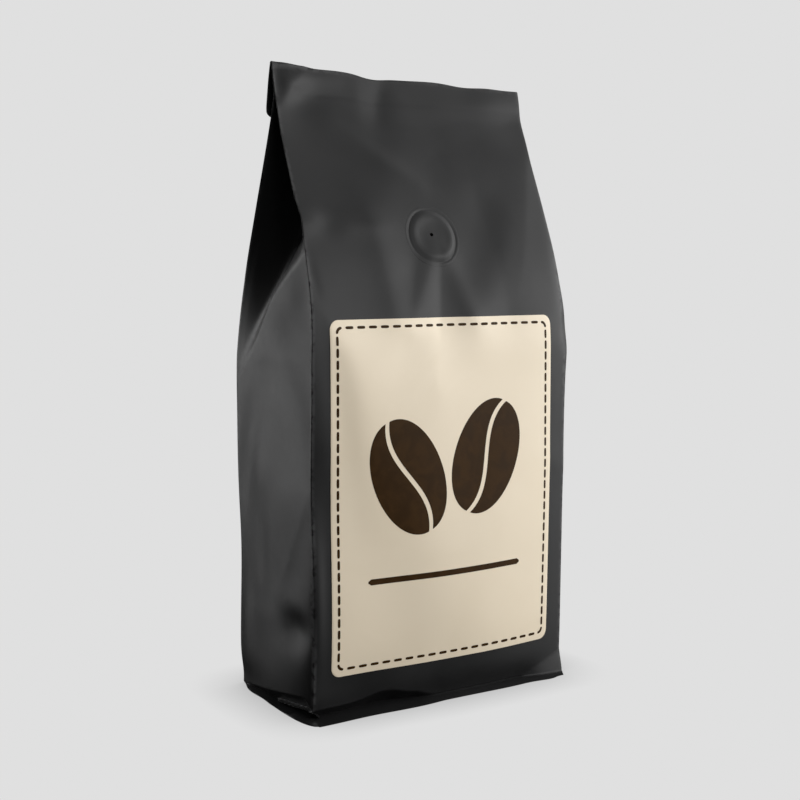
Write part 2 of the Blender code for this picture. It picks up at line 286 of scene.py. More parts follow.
@dataclass(frozen=True)
class BagForm:
    """The large form of the filled bag: distances of its edges and panels from the middle planes."""

    height: float
    side_bulge: float = 1.2 * MM
    half_width_at_shoulder: float = 60.7 * MM
    width_lost_at_base: float = 0.8 * MM
    width_lost_at_pinch: float = 1.1 * MM
    width_lost_at_neck: float = 1.5 * MM
    front_at_base: float = 28.7 * MM
    front_at_shoulder: float = 30.0 * MM
    back_of_body: float = 31.6 * MM
    shoulder: float = 135 * MM
    pinch: float = 164 * MM
    front_slope: float = 0.41
    front_meeting: float = 233.55 * MM
    front_blend: float = 10 * MM
    back_slope: float = 0.39
    back_meeting: float = 232.6 * MM
    back_blend: float = 12 * MM
    neck_start: float = 226 * MM
    neck_front_at_start: float = 3.1 * MM
    neck_lean: float = 0.23
    neck_thickness: float = 0.8 * MM
    neck_blend: float = 2.5 * MM
    neck_join: float = 2.5 * MM
    front_bulge: float = 3.4 * MM
    front_bulge_height: float = 80 * MM
    back_bulge: float = 2.0 * MM
    back_bulge_height: float = 90 * MM
    bulge_spread: float = 85 * MM
    bulge_squareness: int = 4
    gusset_half_width: float = 30.7 * MM
    ridge_at_front: float = 174.5 * MM
    ridge_front_depth: float = 23.5 * MM
    ridge_fall: float = 0.74
    ridge_more_fall: float = 0.36
    ridge_turn: float = 3 * MM
    side_bulge_top: float = 137 * MM
    gusset_depth_at_neck: float = 42 * MM
    gusset_top: float = 232 * MM
    fold_blend: float = 4 * MM
    foot_spread_front: float = 2.8 * MM
    foot_spread_side: float = 0.6 * MM
    foot_shrink_back: float = 1.7 * MM
    foot_spread_height: float = 0.15 * MM
    soft_edge: float = 0.45 * MM
    crisp_edge: float = 0.35 * MM
    crisp_run: float = 12 * MM
    largest_edge_share: float = 0.25
    least_valley: float = 2 * MM
    least_blend: float = 0.01 * MM

    def foot_share(self, height: np.ndarray) -> np.ndarray:
        """How much of the change of outline at the ground is left at a height."""
        return np.exp(-np.maximum(height, 0.0) / self.foot_spread_height)

    def half_width(self, height: float) -> float:
        """Distance of the upright edges from the middle, to the left or right.

        Args:
            height: Height of the row.

        Returns:
            The distance.
        """
        lost = (self.width_lost_at_base, 0.0, self.width_lost_at_pinch, self.width_lost_at_neck)
        heights = (0.0, self.shoulder, self.pinch, self.neck_start)
        spread = self.foot_spread_side * self.foot_share(height)
        return self.half_width_at_shoulder - np.interp(height, heights, lost) + spread

    def neck_front(self, height: float) -> float:
        """Distance of the neck's front face ahead of the middle plane; it leans back as it rises."""
        return self.neck_front_at_start - self.neck_lean * (height - self.neck_start)

    def front_edge(self, height: np.ndarray) -> np.ndarray:
        """Distance of the front upright edges ahead of the middle plane.

        Args:
            height: Heights of the rows.

        Returns:
            The distance at each height.
        """
        body = self.front_at_base + (self.front_at_shoulder - self.front_at_base) * height / self.shoulder
        roof = self.front_slope * (self.front_meeting - height)
        top = smooth_max(roof, self.neck_front(height), self.neck_join)
        wall = smooth_min(body, top, self.front_blend)
        return wall + self.foot_spread_front * self.foot_share(height)

    def back_edge(self, height: np.ndarray) -> np.ndarray:
        """Distance of the back upright edges behind the middle plane.

        Args:
            height: Heights of the rows.

        Returns:
            The distance at each height.
        """
        roof = self.back_slope * (self.back_meeting - height)
        wall = smooth_min(self.back_of_body, roof, self.back_blend)
        pressed = smooth_max(wall, self.neck_thickness - self.neck_front(height), self.neck_blend)
        return pressed - self.foot_shrink_back * self.foot_share(height)

    def bulge(self, x: np.ndarray, height: np.ndarray, rise: float, middle: float) -> np.ndarray:
        """How far the filling pushes a broad panel out."""
        across = np.maximum(1 - np.abs(x / self.half_width_at_shoulder) ** self.bulge_squareness, 0.0)
        return rise * bell(height, middle, self.bulge_spread) * across

    def edge_radius(self, height: float, thickness: float) -> float:
        """Radius of the upright edges: soft beside the filling, a sharp crease above it.

        Args:
            height: Height of the row.
            thickness: Distance between the row's front and back.

        Returns:
            The radius.
        """
        crisp = float(smooth_step(height, self.pinch - self.crisp_run, self.ridge_at_front))
        radius = self.soft_edge - (self.soft_edge - self.crisp_edge) * crisp
        return min(radius, self.largest_edge_share * thickness)

    def ridge_height(self, y: np.ndarray) -> np.ndarray:
        """Height of the slanting ridge above which a side folds inwards.

        Args:
            y: Places from the front to the back.

        Returns:
            The height at each place.
        """
        steeper = 0.5 * (y + np.hypot(y, self.ridge_turn))
        fall = self.ridge_fall * (y + self.ridge_front_depth)
        return self.ridge_at_front - fall - self.ridge_more_fall * steeper

    def gusset_fold(self, y: np.ndarray, height: float, front: float, back: float) -> np.ndarray:
        """How far a side is folded in.

        Args:
            y: Places from the front edge to the back edge.
            height: Height of the row.
            front: Distance of the front edge ahead of the row's middle.
            back: Distance of the back edge behind it.

        Returns:
            The depth of the fold at each place, zero at both edges.
        """
        mouth = 0.5 * (front + back)
        valley = math.sqrt(max(self.gusset_half_width**2 - mouth**2, self.least_valley**2))
        legs = smooth_min((y + front) * valley / mouth, (back - y) * valley / mouth, self.fold_blend)
        slope = self.gusset_depth_at_neck / (self.gusset_top - float(self.ridge_height(np.zeros(1))[0]))
        facet = slope * (height - self.ridge_height(y))
        blend = np.clip(np.minimum(y + front, back - y), self.least_blend, self.fold_blend)
        raised_by_rounding = 0.25 * blend
        fold = smooth_max(smooth_min(facet, legs, blend), 0.0, blend) - raised_by_rounding
        return np.maximum(fold, 0.0)


@dataclass(frozen=True)
class Level:
    """One row of the film tube: the rule height it follows and the frame that it is drawn in."""

    height: float
    front: float
    back: float
    origin: tuple[float, float]
    facing: tuple[float, float]
    half_width: float
    gusset: float = 1.0
    pressed: float = 0.0


@dataclass(frozen=True)
class Foot:
    """The foot of the film: a base fold that stands out, and the film tucked in above it."""

    flange: float = 0.3 * MM
    flange_fade: float = 0.25 * MM
    flange_slant: float = 0.4 * MM
    lip_left: float = 4.2 * MM
    lip_turn: Ramp = Ramp(-16, -3)
    lip_crest: Bump = Bump(2.8, -28, 9)
    lip_back: float = 2.0 * MM
    lip_least: float = 0.05 * MM
    slit: float = 1.15 * MM
    slit_end: Ramp = Ramp(38, 48)
    side_lip: float = 9.3 * MM
    side_lip_fall: float = 0.85
    side_lip_climb: float = 60 * MM
    front_stand: float = 2.4 * MM
    front_stand_more: Bump = Bump(0.9, 35, 18)
    front_stand_lost: float = 1.8 * MM
    front_stand_end: Ramp = Ramp(48, 60)
    side_stand: float = 4.2 * MM
    side_stand_skew: float = 0.55
    heel_stand: float = 1.5 * MM
    heel_place: float = 0.80
    heel_spread: float = 0.12
    swell_share: float = 0.75
    swell_skew: float = 0.75
    swell_height: float = 45 * MM
    undercut_most: float = 6.0 * MM
    undercut_start: float = 0.3 * MM
    hem_rise: float = 2.4 * MM
    hem_at_front: float = 3.6 * MM
    hem_fall: float = 5.8 * MM
    hem_spread: float = 0.42 * MM
    hem_end: tuple[float, float] = (0.42, 0.52)
    hem_stand: float = 0.2 * MM

    def lip_front(self, x: np.ndarray) -> np.ndarray:
        """Height up to which the front film is tucked in above the base fold, most at the left.

        Args:
            x: Places across the bag.

        Returns:
            The height at each place.
        """
        to_right = self.lip_turn.at(x)
        tail = self.lip_left * (1 - to_right)
        slit = self.slit * to_right * (1 - self.slit_end.at(x))
        return tail + slit + self.lip_crest.at(x)

    def lip_side(self, along: np.ndarray) -> np.ndarray:
        """Height up to which a side is tucked in above the base fold, highest near the front."""
        reach = self.side_lip * np.maximum(1 - along, 0.0) ** self.side_lip_fall
        return np.minimum(reach, self.lip_left + along * self.side_lip_climb)

    def front_reach(self, x: np.ndarray) -> np.ndarray:
        """How far the base fold of the front stands out, a little less at the right corner."""
        lost = self.front_stand_lost * self.front_stand_end.at(x)
        return self.front_stand + self.front_stand_more.at(x) - lost

    def side_reach(self, along: np.ndarray) -> np.ndarray:
        """How far the base fold of the left side stands out, most at a third of the way back.

        Args:
            along: Share of the way from the front to the back.

        Returns:
            The distance at each place.
        """
        along = np.clip(along, 0.0, 1.0)
        heel = self.heel_stand * bell(along, self.heel_place, self.heel_spread)
        return self.side_stand * np.sin(math.pi * along**self.side_stand_skew) + heel

    def undercut(self, height: float, lip: np.ndarray) -> np.ndarray:
        """How far the film is tucked in below its lip and above the base fold's flange.

        Args:
            height: Height of the row.
            lip: Height of the lip at each place.

        Returns:
            The depth of the tuck at each place.
        """
        lip = np.maximum(lip, self.flange + self.lip_least)
        up = np.clip((height - self.flange) / (lip - self.flange), 0.0, 1.0)
        depth = np.minimum(self.undercut_most, lip - self.flange)
        return depth * (1 - up) * smooth_step(height, self.flange, self.flange + self.undercut_start)

    def hem(self, height: float, along: np.ndarray) -> np.ndarray:
        """The hem of the left side, which shows as a thin rim inside the tuck near the front."""
        place = self.hem_at_front - along * self.hem_fall
        return self.hem_rise * bell(height, place, self.hem_spread) * (1 - smooth_step(along, *self.hem_end))

    def push(self, height: float, x: np.ndarray, out_x: np.ndarray, out_y: np.ndarray,
             along: np.ndarray) -> np.ndarray:
        """How far the lowest film stands out from the plain sides of the bag.

        Args:
            height: Height of the row.
            x: Places across the bag.
            out_x: Sideways part of the outward directions.
            out_y: Part of the outward directions towards the back.
            along: Share of the way from the front to the back.

        Returns:
            The outward distances; tucked-in film has negative ones.
        """
        side = np.abs(out_x)
        on_left = np.where(x < 0, side**2, 0.0)
        reach = self.side_reach(along) * on_left
        flange = np.exp(-np.maximum(height - self.flange, 0.0) / self.flange_fade)
        swell = self.swell_share * bell(height, 0.0, self.swell_height)
        swell_reach = self.side_stand * np.sin(math.pi * along**self.swell_skew) * on_left
        stand = np.maximum(reach * flange, swell_reach * swell)
        front_lip = np.where(out_y < 0, self.lip_front(x), self.lip_back)
        lip = front_lip * (1 - side**2) + self.lip_side(along) * side**2
        tuck = self.undercut(height, lip) - self.hem(height, along) * on_left
        slant = self.flange_slant * max(0.0, 1 - height / self.flange) ** 2 * side**2
        return stand - np.maximum(tuck, -self.hem_stand) - slant


@dataclass
class FilmTube:
    """The bag's film: one closed tube from the folded base up to the sealed end of the flap."""

    form: BagForm
    front_features: list[Relief] = field(default_factory=list)
    back_features: list[Relief] = field(default_factory=list)
    left_features: list[Relief] = field(default_factory=list)
    right_features: list[Relief] = field(default_factory=list)
    foot: Foot = Foot()
    front_columns: int = 112
    side_columns: int = 56
    corner_columns: int = 5
    side_samples: int = 300
    foot_heights: tuple[float, ...] = (0, 0.15, 0.3, 0.45, 0.7, 1.0, 1.25)
    foot_rows: int = 34
    foot_bounds: tuple[float, float] = (1.5, 12)
    body_rows: int = 72
    roof_rows: int = 78
    roof_gap: float = 0.8 * MM
    press_start: float = 224 * MM
    tube_start: float = 236 * MM
    neck_rows: int = 9
    turn_rows: int = 11
    fold_radius: float = 0.55 * MM
    flap_end: float = 225.6 * MM
    flap_standoff: float = 3.66 * MM
    flap_curve: float = 1.3
    flap_end_bend: float = 0.9 * MM
    flap_end_run: tuple[float, float] = (0.8, 1.05)
    plain_flap_rows: tuple[float, float, int] = (0, 0.45, 12)
    sealed_flap_rows: tuple[float, float, int] = (0.47, 1, 38)
    seal_thickness: float = 0.5 * MM
    seal_start: tuple[float, float] = (0.25, 0.45)
    rib_pitch: float = 1.5 * MM
    rib_rise: float = 0.07 * MM
    flap_corner: float = 1.4 * MM
    flap_corner_start: float = 0.9
    end_rounding: float = 0.1 * MM
    underside_rise: float = 0.5 * MM
    underside_rows: int = 12
    corner_tuck: float = 4.0 * MM
    corner_tuck_spread: float = 16 * MM
    corner_tuck_start: float = 0.8
    fin_tuck: float = 2.7 * MM
    fin: Ramp = Ramp(50, 58)
    front_roll: float = 1.2 * MM
    front_roll_height: float = 6 * MM
    front_roll_end: Ramp = Ramp(36, 50)
    sideways: float = 0.2 * MM
    right_edge: tuple[Bump, ...] = (Bump(1.4, 146, 20), Bump(0.8, 144, 8), Bump(-1.0, 218, 11))
    right_edge_start: Ramp = Ramp(44, 60)
    back_left_dents: tuple[Bump, ...] = (Bump(1.2, 3, 8), Bump(1.0, 54, 22))
    back_left_start: Ramp = Ramp(50, 60)
    back_left_share: float = 0.5
    top_dips: tuple[Bump, ...] = (Bump(1.1, -16, 8), Bump(0.8, -2, 13), Bump(1.0, 31, 10), Bump(0.45, 52, 9))
    top_left_lift: float = 1.3 * MM
    top_left_end: Ramp = Ramp(-58, -40)
    top_dip_start: float = 200 * MM
    top_dip_full: float = 2 * MM
    ridge_fade: float = 16 * MM
    ridge_calm: float = 0.85
    valve_place: tuple[float, float] = (-0.9 * MM, 182.1 * MM)
    valve_sink: float = 0.7 * MM
    valve_sink_end: Ramp = Ramp(9.4, 12.4)
    hole_sink: float = 2.2 * MM
    hole_sink_end: Ramp = Ramp(1.5, 5)

    def front_relief(self, x: np.ndarray, height: np.ndarray) -> np.ndarray:
        """How far the front panel stands out beyond its straight edges."""
        bulge = self.form.bulge(x, height, self.form.front_bulge, self.form.front_bulge_height)
        return bulge + total_relief(self.front_features, x, height)

    def front_surface(self, x: np.ndarray, height: np.ndarray) -> np.ndarray:
        """Distance of the finished front panel ahead of the middle plane."""
        return self.form.front_edge(height) + self.front_relief(x, height)

    def back_relief(self, x: np.ndarray, height: np.ndarray) -> np.ndarray:
        """How far the back panel stands out beyond its straight edges."""
        bulge = self.form.bulge(x, height, self.form.back_bulge, self.form.back_bulge_height)
        return bulge + total_relief(self.back_features, x, height)

    def back_surface(self, x: np.ndarray, height: np.ndarray) -> np.ndarray:
        """Distance of the finished back panel behind the middle plane."""
        return self.form.back_edge(height) + self.back_relief(x, height)

    def valve_seat(self, x: np.ndarray, height: np.ndarray) -> np.ndarray:
        """How far the film sinks below the valve's relief, which covers it.

        Args:
            x: Places across the bag.
            height: Heights of those places.

        Returns:
            The depth at each place.
        """
        slope = math.hypot(1.0, self.form.front_slope)
        distance = np.hypot(x - self.valve_place[0], (height - self.valve_place[1]) * slope)
        below_hole = self.hole_sink * (1 - self.hole_sink_end.at(distance))
        return self.valve_sink * (1 - self.valve_sink_end.at(distance)) + below_hole

    def top_dip(self, x: np.ndarray) -> np.ndarray:
        """How far the folded top hangs below its full height."""
        return total_rise(self.top_dips, x) - self.top_left_lift * (1 - self.top_left_end.at(x))

    def side_path(self, level: Level, radius: float,
                  mirrored: bool) -> tuple[np.ndarray, np.ndarray, np.ndarray]:
        """One side of a row from its front edge to its back edge, in even steps along the film.

        Args:
            level: The row.
            radius: Radius of the row's corners.
            mirrored: True for the right side.

        Returns:
            The depth of the fold, the local y and the share of the way from front to back.
        """
        front, back = level.front - radius, level.back - radius
        y = np.linspace(-front, back, self.side_samples)
        fold = level.gusset * self.form.gusset_fold(y, level.height, front, back)
        length = np.concatenate([[0], np.cumsum(np.hypot(np.diff(fold), np.diff(y)))])
        even = np.linspace(0, length[-1], self.side_columns + 1)
        fold, y = np.interp(even, length, fold), np.interp(even, length, y)
        along = (y + front) / (front + back)
        features = self.right_features if mirrored else self.left_features
        ridge = self.form.ridge_height(y)
        above_ridge = smooth_step(level.height, ridge, ridge + self.ridge_fade)
        outer = (1 - self.ridge_calm * above_ridge) * (1 - level.pressed)
        low = np.clip(level.height / self.form.side_bulge_top, 0, 1)
        bulge = self.form.side_bulge * np.sin(math.pi * along) * low
        relief = total_relief(features, y, np.full(y.shape, level.height))
        held_at_edges = relief - (1 - along) * relief[0] - along * relief[-1]
        return fold - (bulge + held_at_edges) * outer, y, along

    def ring(self, level: Level) -> np.ndarray:
        """One row of points round the bag, from the middle of the back, by the left, and back to it.

        Args:
            level: The row.

        Returns:
            The points, one for each column and one more, the last the same as the first.
        """
        width, front, back = level.half_width, level.front, level.back
        radius = self.form.edge_radius(level.height, front + back)
        half = self.front_columns // 2
        flat = width - radius
        angles = np.linspace(0, math.pi / 2, self.corner_columns + 1)[1:-1]
        back_x = np.linspace(0, -flat, half + 1)
        parts = [np.column_stack([back_x, np.full(half + 1, back), 0 * back_x, 0 * back_x + 1])]

        def corner(side: int, first: float, middle_y: float) -> np.ndarray:
            """Points of one rounded edge, on its way from one panel to the next.

            Args:
                side: 1 on the left, -1 on the right.
                first: Direction that the edge starts in.
                middle_y: Local y of the middle of its roundness.

            Returns:
                The points, as local x, local y and the outward direction.
            """
            turn = first + angles
            x, y = -flat * side - side * radius * np.sin(turn), middle_y + radius * np.cos(turn)
            return np.column_stack([x, y, -side * np.sin(turn), np.cos(turn)])

        parts.append(corner(1, 0.0, back - radius))
        fold, y, along_left = self.side_path(level, radius, mirrored=False)
        parts.append(np.column_stack([-width + fold, y, 0 * y - 1, 0 * y])[::-1])
        parts.append(corner(1, math.pi / 2, radius - front))
        front_x = np.linspace(-flat, flat, 2 * half + 1)
        parts.append(np.column_stack([front_x, 0 * front_x - front, 0 * front_x, 0 * front_x - 1]))
        parts.append(corner(-1, math.pi / 2, radius - front)[::-1])
        fold, y, along_right = self.side_path(level, radius, mirrored=True)
        parts.append(np.column_stack([width - fold, y, 0 * y + 1, 0 * y]))
        parts.append(corner(-1, 0.0, back - radius)[::-1])
        parts.append(parts[0][::-1] * (-1, 1, 1, 1))
        ring = np.concatenate(parts)
        steps = self.corner_columns - 1
        corner_back, corner_front = np.full(steps, 1.0), np.zeros(steps)
        along = np.concatenate([np.full(half + 1, 1.0), corner_back, along_left[::-1], corner_front,
                                np.zeros(2 * half + 1), corner_front, along_right, corner_back,
                                np.full(half + 1, 1.0)])
        return self.placed(level, ring, np.clip(along, 0.0, 1.0))

    def shape_edges(self, level: Level, x: np.ndarray, along: np.ndarray) -> np.ndarray:
        """Waves the right edges and dents the back left one.

        Args:
            level: The row.
            x: Places across the bag.
            along: Share of the way from the front to the back.

        Returns:
            The new places across the bag.
        """
        x = x + total_rise(self.right_edge, level.height) * self.right_edge_start.at(x)
        behind = smooth_step(along, self.back_left_share, 1.0) * self.back_left_start.at(-x)
        return x + total_rise(self.back_left_dents, level.height) * behind

    def shape_base(self, level: Level, x: np.ndarray, y: np.ndarray,
                   along: np.ndarray) -> tuple[np.ndarray, np.ndarray]:
        """Draws in the lowest corners, sets the base fold forwards and rolls the front under.

        Args:
            level: The row.
            x: Places across the bag.
            y: Local places from the front to the back.
            along: Share of the way from the front to the back.

        Returns:
            The new x and y.
        """
        share = self.form.foot_share(level.height)
        at_left = bell(x, -self.form.half_width_at_shoulder, self.corner_tuck_spread)
        y = y - self.corner_tuck * share * at_left * smooth_step(along, self.corner_tuck_start, 1.0)
        y = y - self.foot.front_reach(x) * share * (1 - along)
        x = x - self.fin_tuck * share * self.fin.at(x)
        roll = bell(level.height, 0.0, self.front_roll_height) - share
        y = y + self.front_roll * roll * (1 - along) * (1 - self.front_roll_end.at(x))
        return x, y

    def placed(self, level: Level, ring: np.ndarray, along: np.ndarray) -> np.ndarray:
        """Adds the relief and the tucked-in foot to a row, and sets it in its frame.

        Args:
            level: The row.
            ring: Its plain points, as local x, local y and the outward direction.
            along: Share of the way from the front to the back of each point.

        Returns:
            The finished points as x, y and z.
        """
        x, y, out_x, out_y = ring.T.copy()
        relief = self.front_relief(x, np.full(x.shape, level.height))
        behind = (1 - level.pressed) * self.back_relief(x, np.full(x.shape, level.height))
        seat = self.valve_seat(x, level.height) * (along == 0) * (1 - level.pressed)
        y += -(1 - along) * relief + along * (behind - level.pressed * relief) + seat
        push = self.foot.push(level.height, x, out_x, out_y, along)
        x = self.shape_edges(level, x + push * out_x + self.sideways, along)
        x, y = self.shape_base(level, x, y + push * out_y, along)
        near_top = smooth_step(level.height, self.top_dip_start, self.form.height - self.top_dip_full)
        drop = self.top_dip(x) * near_top
        forward, up = level.facing
        return np.column_stack([x, level.origin[0] - y * forward, level.origin[1] - y * up - drop])

    def body_levels(self) -> list[Level]:
        """The rows of the body, from the ground up to the pressed neck.

        Returns:
            The rows.
        """
        foot = np.concatenate([self.foot_heights, np.linspace(*self.foot_bounds, self.foot_rows)]) * MM
        body = np.linspace(self.foot_bounds[1] * MM, self.form.shoulder, self.body_rows)[1:]
        roof = np.linspace(self.form.shoulder, self.tube_start - self.roof_gap, self.roof_rows)[1:]
        levels = []
        for height in np.concatenate([foot, body, roof]):
            front, back = float(self.form.front_edge(height)), float(self.form.back_edge(height))
            pressed = float(smooth_step(height, self.press_start, self.form.front_meeting))
            levels.append(Level(float(height), front, back, (0.0, float(height)), (-1.0, 0.0),
                                self.form.half_width(height), 1.0, pressed))
        return levels

    def spine(self) -> list[tuple[float, float, float]]:
        """The middle line of the folded top: up the neck, over and down the flap.

        Returns:
            Points as y, z and the share of the flap's length.
        """
        half = self.form.neck_thickness / 2
        turn_height = self.form.height - self.fold_radius - half
        start_y = half - self.form.neck_front(self.tube_start)
        top_y = half - self.form.neck_front(turn_height)
        points = []
        for share in np.linspace(0, 1, self.neck_rows):
            z = self.tube_start + (turn_height - self.tube_start) * share
            points.append((start_y + (top_y - start_y) * share, z, 0.0))
        for turn in np.linspace(0, math.pi, self.turn_rows)[1:-1]:
            y = top_y + self.fold_radius * (1 - math.cos(turn))
            points.append((y, turn_height + self.fold_radius * math.sin(turn), 0.0))
        plain, sealed = np.linspace(*self.plain_flap_rows), np.linspace(*self.sealed_flap_rows)
        for share in np.concatenate([plain, sealed]):
            standoff = self.flap_standoff * (1 - (1 - share) ** self.flap_curve)
            bend = self.flap_end_bend * float(smooth_step(share, *self.flap_end_run))
            z = turn_height + (self.flap_end - turn_height) * share
            points.append((top_y + 2 * self.fold_radius + standoff - bend, z, share))
        return points

    def top_levels(self) -> list[Level]:
        """The rows of the folded top, square to its middle line.

        Returns:
            The rows.
        """
        spine = np.array(self.spine())
        tangent = np.gradient(spine[:, :2], axis=0)
        tangent /= np.linalg.norm(tangent, axis=1)[:, None]
        run = np.concatenate([[0], np.cumsum(np.hypot(*np.diff(spine[:, :2], axis=0).T))])
        half_width = self.form.half_width(self.form.height)
        levels = []
        for (y, z, flap), (along_y, along_z), way in zip(spine, tangent, run.tolist()):
            sealed = float(smooth_step(flap, *self.seal_start))
            thickness = self.form.neck_thickness + (self.seal_thickness - self.form.neck_thickness) * sealed
            thickness += self.rib_rise * sealed * (1 + math.cos(2 * math.pi * way / self.rib_pitch))
            near_end = max(0.0, (flap - self.flap_corner_start) / (1 - self.flap_corner_start))
            levels.append(Level(self.tube_start + way, thickness / 2, thickness / 2, (y, z),
                                (-along_z, along_y), half_width - self.flap_corner * near_end**2,
                                1 - sealed, 1.0))
        return levels

    def underside(self, outline: np.ndarray) -> list[np.ndarray]:
        """The folded base, drawn in from the outline on the ground to its middle seam.

        Args:
            outline: The lowest row of the body.

        Returns:
            Rows of points.
        """
        reach = self.form.half_width_at_shoulder - self.form.front_at_base
        flat = 0 * outline[:, 0]
        middle = np.column_stack([np.clip(outline[:, 0], -reach, reach), flat, flat])
        rows = []
        for share in np.linspace(1, 0, self.underside_rows)[:-1]:
            row = middle + (outline - middle) * (1 - share)
            row[:, 2] = self.underside_rise * math.sin(math.pi / 2 * share)
            rows.append(row)
        return rows

    def grid(self) -> np.ndarray:
        """All rows of points: base, body, folded top and the flap's closed end.

        Returns:
            Array of rows, columns and (x, y, z).
        """
        levels = self.body_levels() + self.top_levels()
        rings = [self.ring(level) for level in levels]
        last, end = levels[-1], rings[-1].copy()
        reach = last.half_width - self.form.edge_radius(last.height, last.front + last.back)
        end[:, 0] = np.clip(end[:, 0], -reach, reach)
        end[:, 1] = last.origin[0]
        end[:, 2] = last.origin[1] - self.top_dip(end[:, 0]) - self.end_rounding
        return np.array(self.underside(rings[0]) + rings + [end])

    def build(self) -> bpy.types.Object:
        """The film as a finished mesh, rolled from a flat sheet and shaped row by row.

        Returns:
            The piece.
        """
        film = sheet_from_rows("bag_film", self.grid())
        merge_points(film)
        edit(film)
        bpy.ops.mesh.select_all(action="SELECT")
        bpy.ops.mesh.normals_make_consistent(inside=False)
        leave_edit()
        return film


def deselect() -> None:
    """Leaves nothing selected."""
    bpy.ops.object.select_all(action="DESELECT")


def pick(*pieces: bpy.types.Object) -> None:
    """Selects pieces, and only those, and makes the first one active.

    Args:
        *pieces: The pieces.
    """
    deselect()
    for piece in pieces:
        piece.select_set(True)
    bpy.context.view_layer.objects.active = pieces[0]


def edit(piece: bpy.types.Object) -> None:
    """Opens one piece, and only that one, in edit mode."""
    pick(piece)
    bpy.ops.object.mode_set(mode="EDIT")


def leave_edit() -> None:
    """Closes edit mode."""
    bpy.ops.object.mode_set(mode="OBJECT")


def merge_points(piece: bpy.types.Object) -> None:
    """Welds points that lie on each other and takes out the empty faces between them.

    Args:
        piece: The piece.
    """
    edit(piece)
    bpy.ops.mesh.select_all(action="SELECT")
    bpy.ops.mesh.remove_doubles(threshold=WELD_DISTANCE)
    bpy.ops.mesh.dissolve_degenerate(threshold=SLIVER_WIDTH)
    leave_edit()


def move_points(piece: bpy.types.Object, points: np.ndarray) -> None:
    """Puts a mesh's points at new places, given in the order of its points."""
    piece.data.vertices.foreach_set("co", np.ascontiguousarray(points, np.float32).ravel())
    piece.data.update()


def read_points(piece: bpy.types.Object) -> np.ndarray:
    """The places of a mesh's points.

    Args:
        piece: The piece.

    Returns:
        Array of points and (x, y, z).
    """
    points = np.empty(len(piece.data.vertices) * 3, np.float32)
    piece.data.vertices.foreach_get("co", points)
    return points.reshape(-1, 3)


def sheet_from_rows(name: str, points: np.ndarray) -> bpy.types.Object:
    """A sheet of quads whose points are moved to their places.

    Args:
        name: Name of the piece.
        points: Array of rows, columns and (x, y, z).

    Returns:
        The piece.
    """
    rows, columns = points.shape[:2]
    deselect()
    bpy.ops.mesh.primitive_grid_add(x_subdivisions=columns - 1, y_subdivisions=rows - 1, size=2)
    sheet = bpy.context.object
    sheet.name = name
    sheet.data.name = name
    flat = read_points(sheet)
    column = np.rint((flat[:, 0] + 1) / 2 * (columns - 1)).astype(int)
    row = np.rint((flat[:, 1] + 1) / 2 * (rows - 1)).astype(int)
    move_points(sheet, points[row, column])
    return sheet


def apply_modifiers(piece: bpy.types.Object) -> None:
    """Applies all of a piece's modifiers in their order.

    Args:
        piece: The piece.
    """
    pick(piece)
    for modifier in list(piece.modifiers):
        bpy.ops.object.modifier_apply(modifier=modifier.name)


def thicken(piece: bpy.types.Object, thickness: float, offset: float) -> None:
    """Gives a sheet its thickness.

    Args:
        piece: The sheet.
        thickness: Its thickness.
        offset: 1 grows it outwards from its face, -1 inwards.
    """
    wall = piece.modifiers.new("thickness", "SOLIDIFY")
    wall.thickness = thickness
    wall.offset = offset
    apply_modifiers(piece)


def shade(piece: bpy.types.Object, sharpest: float) -> None:
    """Shades a piece smooth, apart from edges sharper than an angle in degrees."""
    pick(piece)
    bpy.ops.object.shade_smooth_by_angle(angle=math.radians(sharpest))


def join(pieces: list[bpy.types.Object], name: str) -> bpy.types.Object:
    """Joins pieces into the first of them and names the result.

    Args:
        pieces: The pieces.
        name: Name of the result.

    Returns:
        The result.
    """
    pick(*pieces)
    bpy.ops.object.join()
    pieces[0].name = name
    pieces[0].data.name = name
    return pieces[0]


def face_forward(sheet: bpy.types.Object) -> None:
    """Turns a sheet's faces towards the front, if they look back.

    Args:
        sheet: The sheet.
    """
    mean = sum((face.normal * face.area for face in sheet.data.polygons), Vector())
    if mean.y > 0:
        edit(sheet)
        bpy.ops.mesh.select_all(action="SELECT")
        bpy.ops.mesh.flip_normals()
        leave_edit()


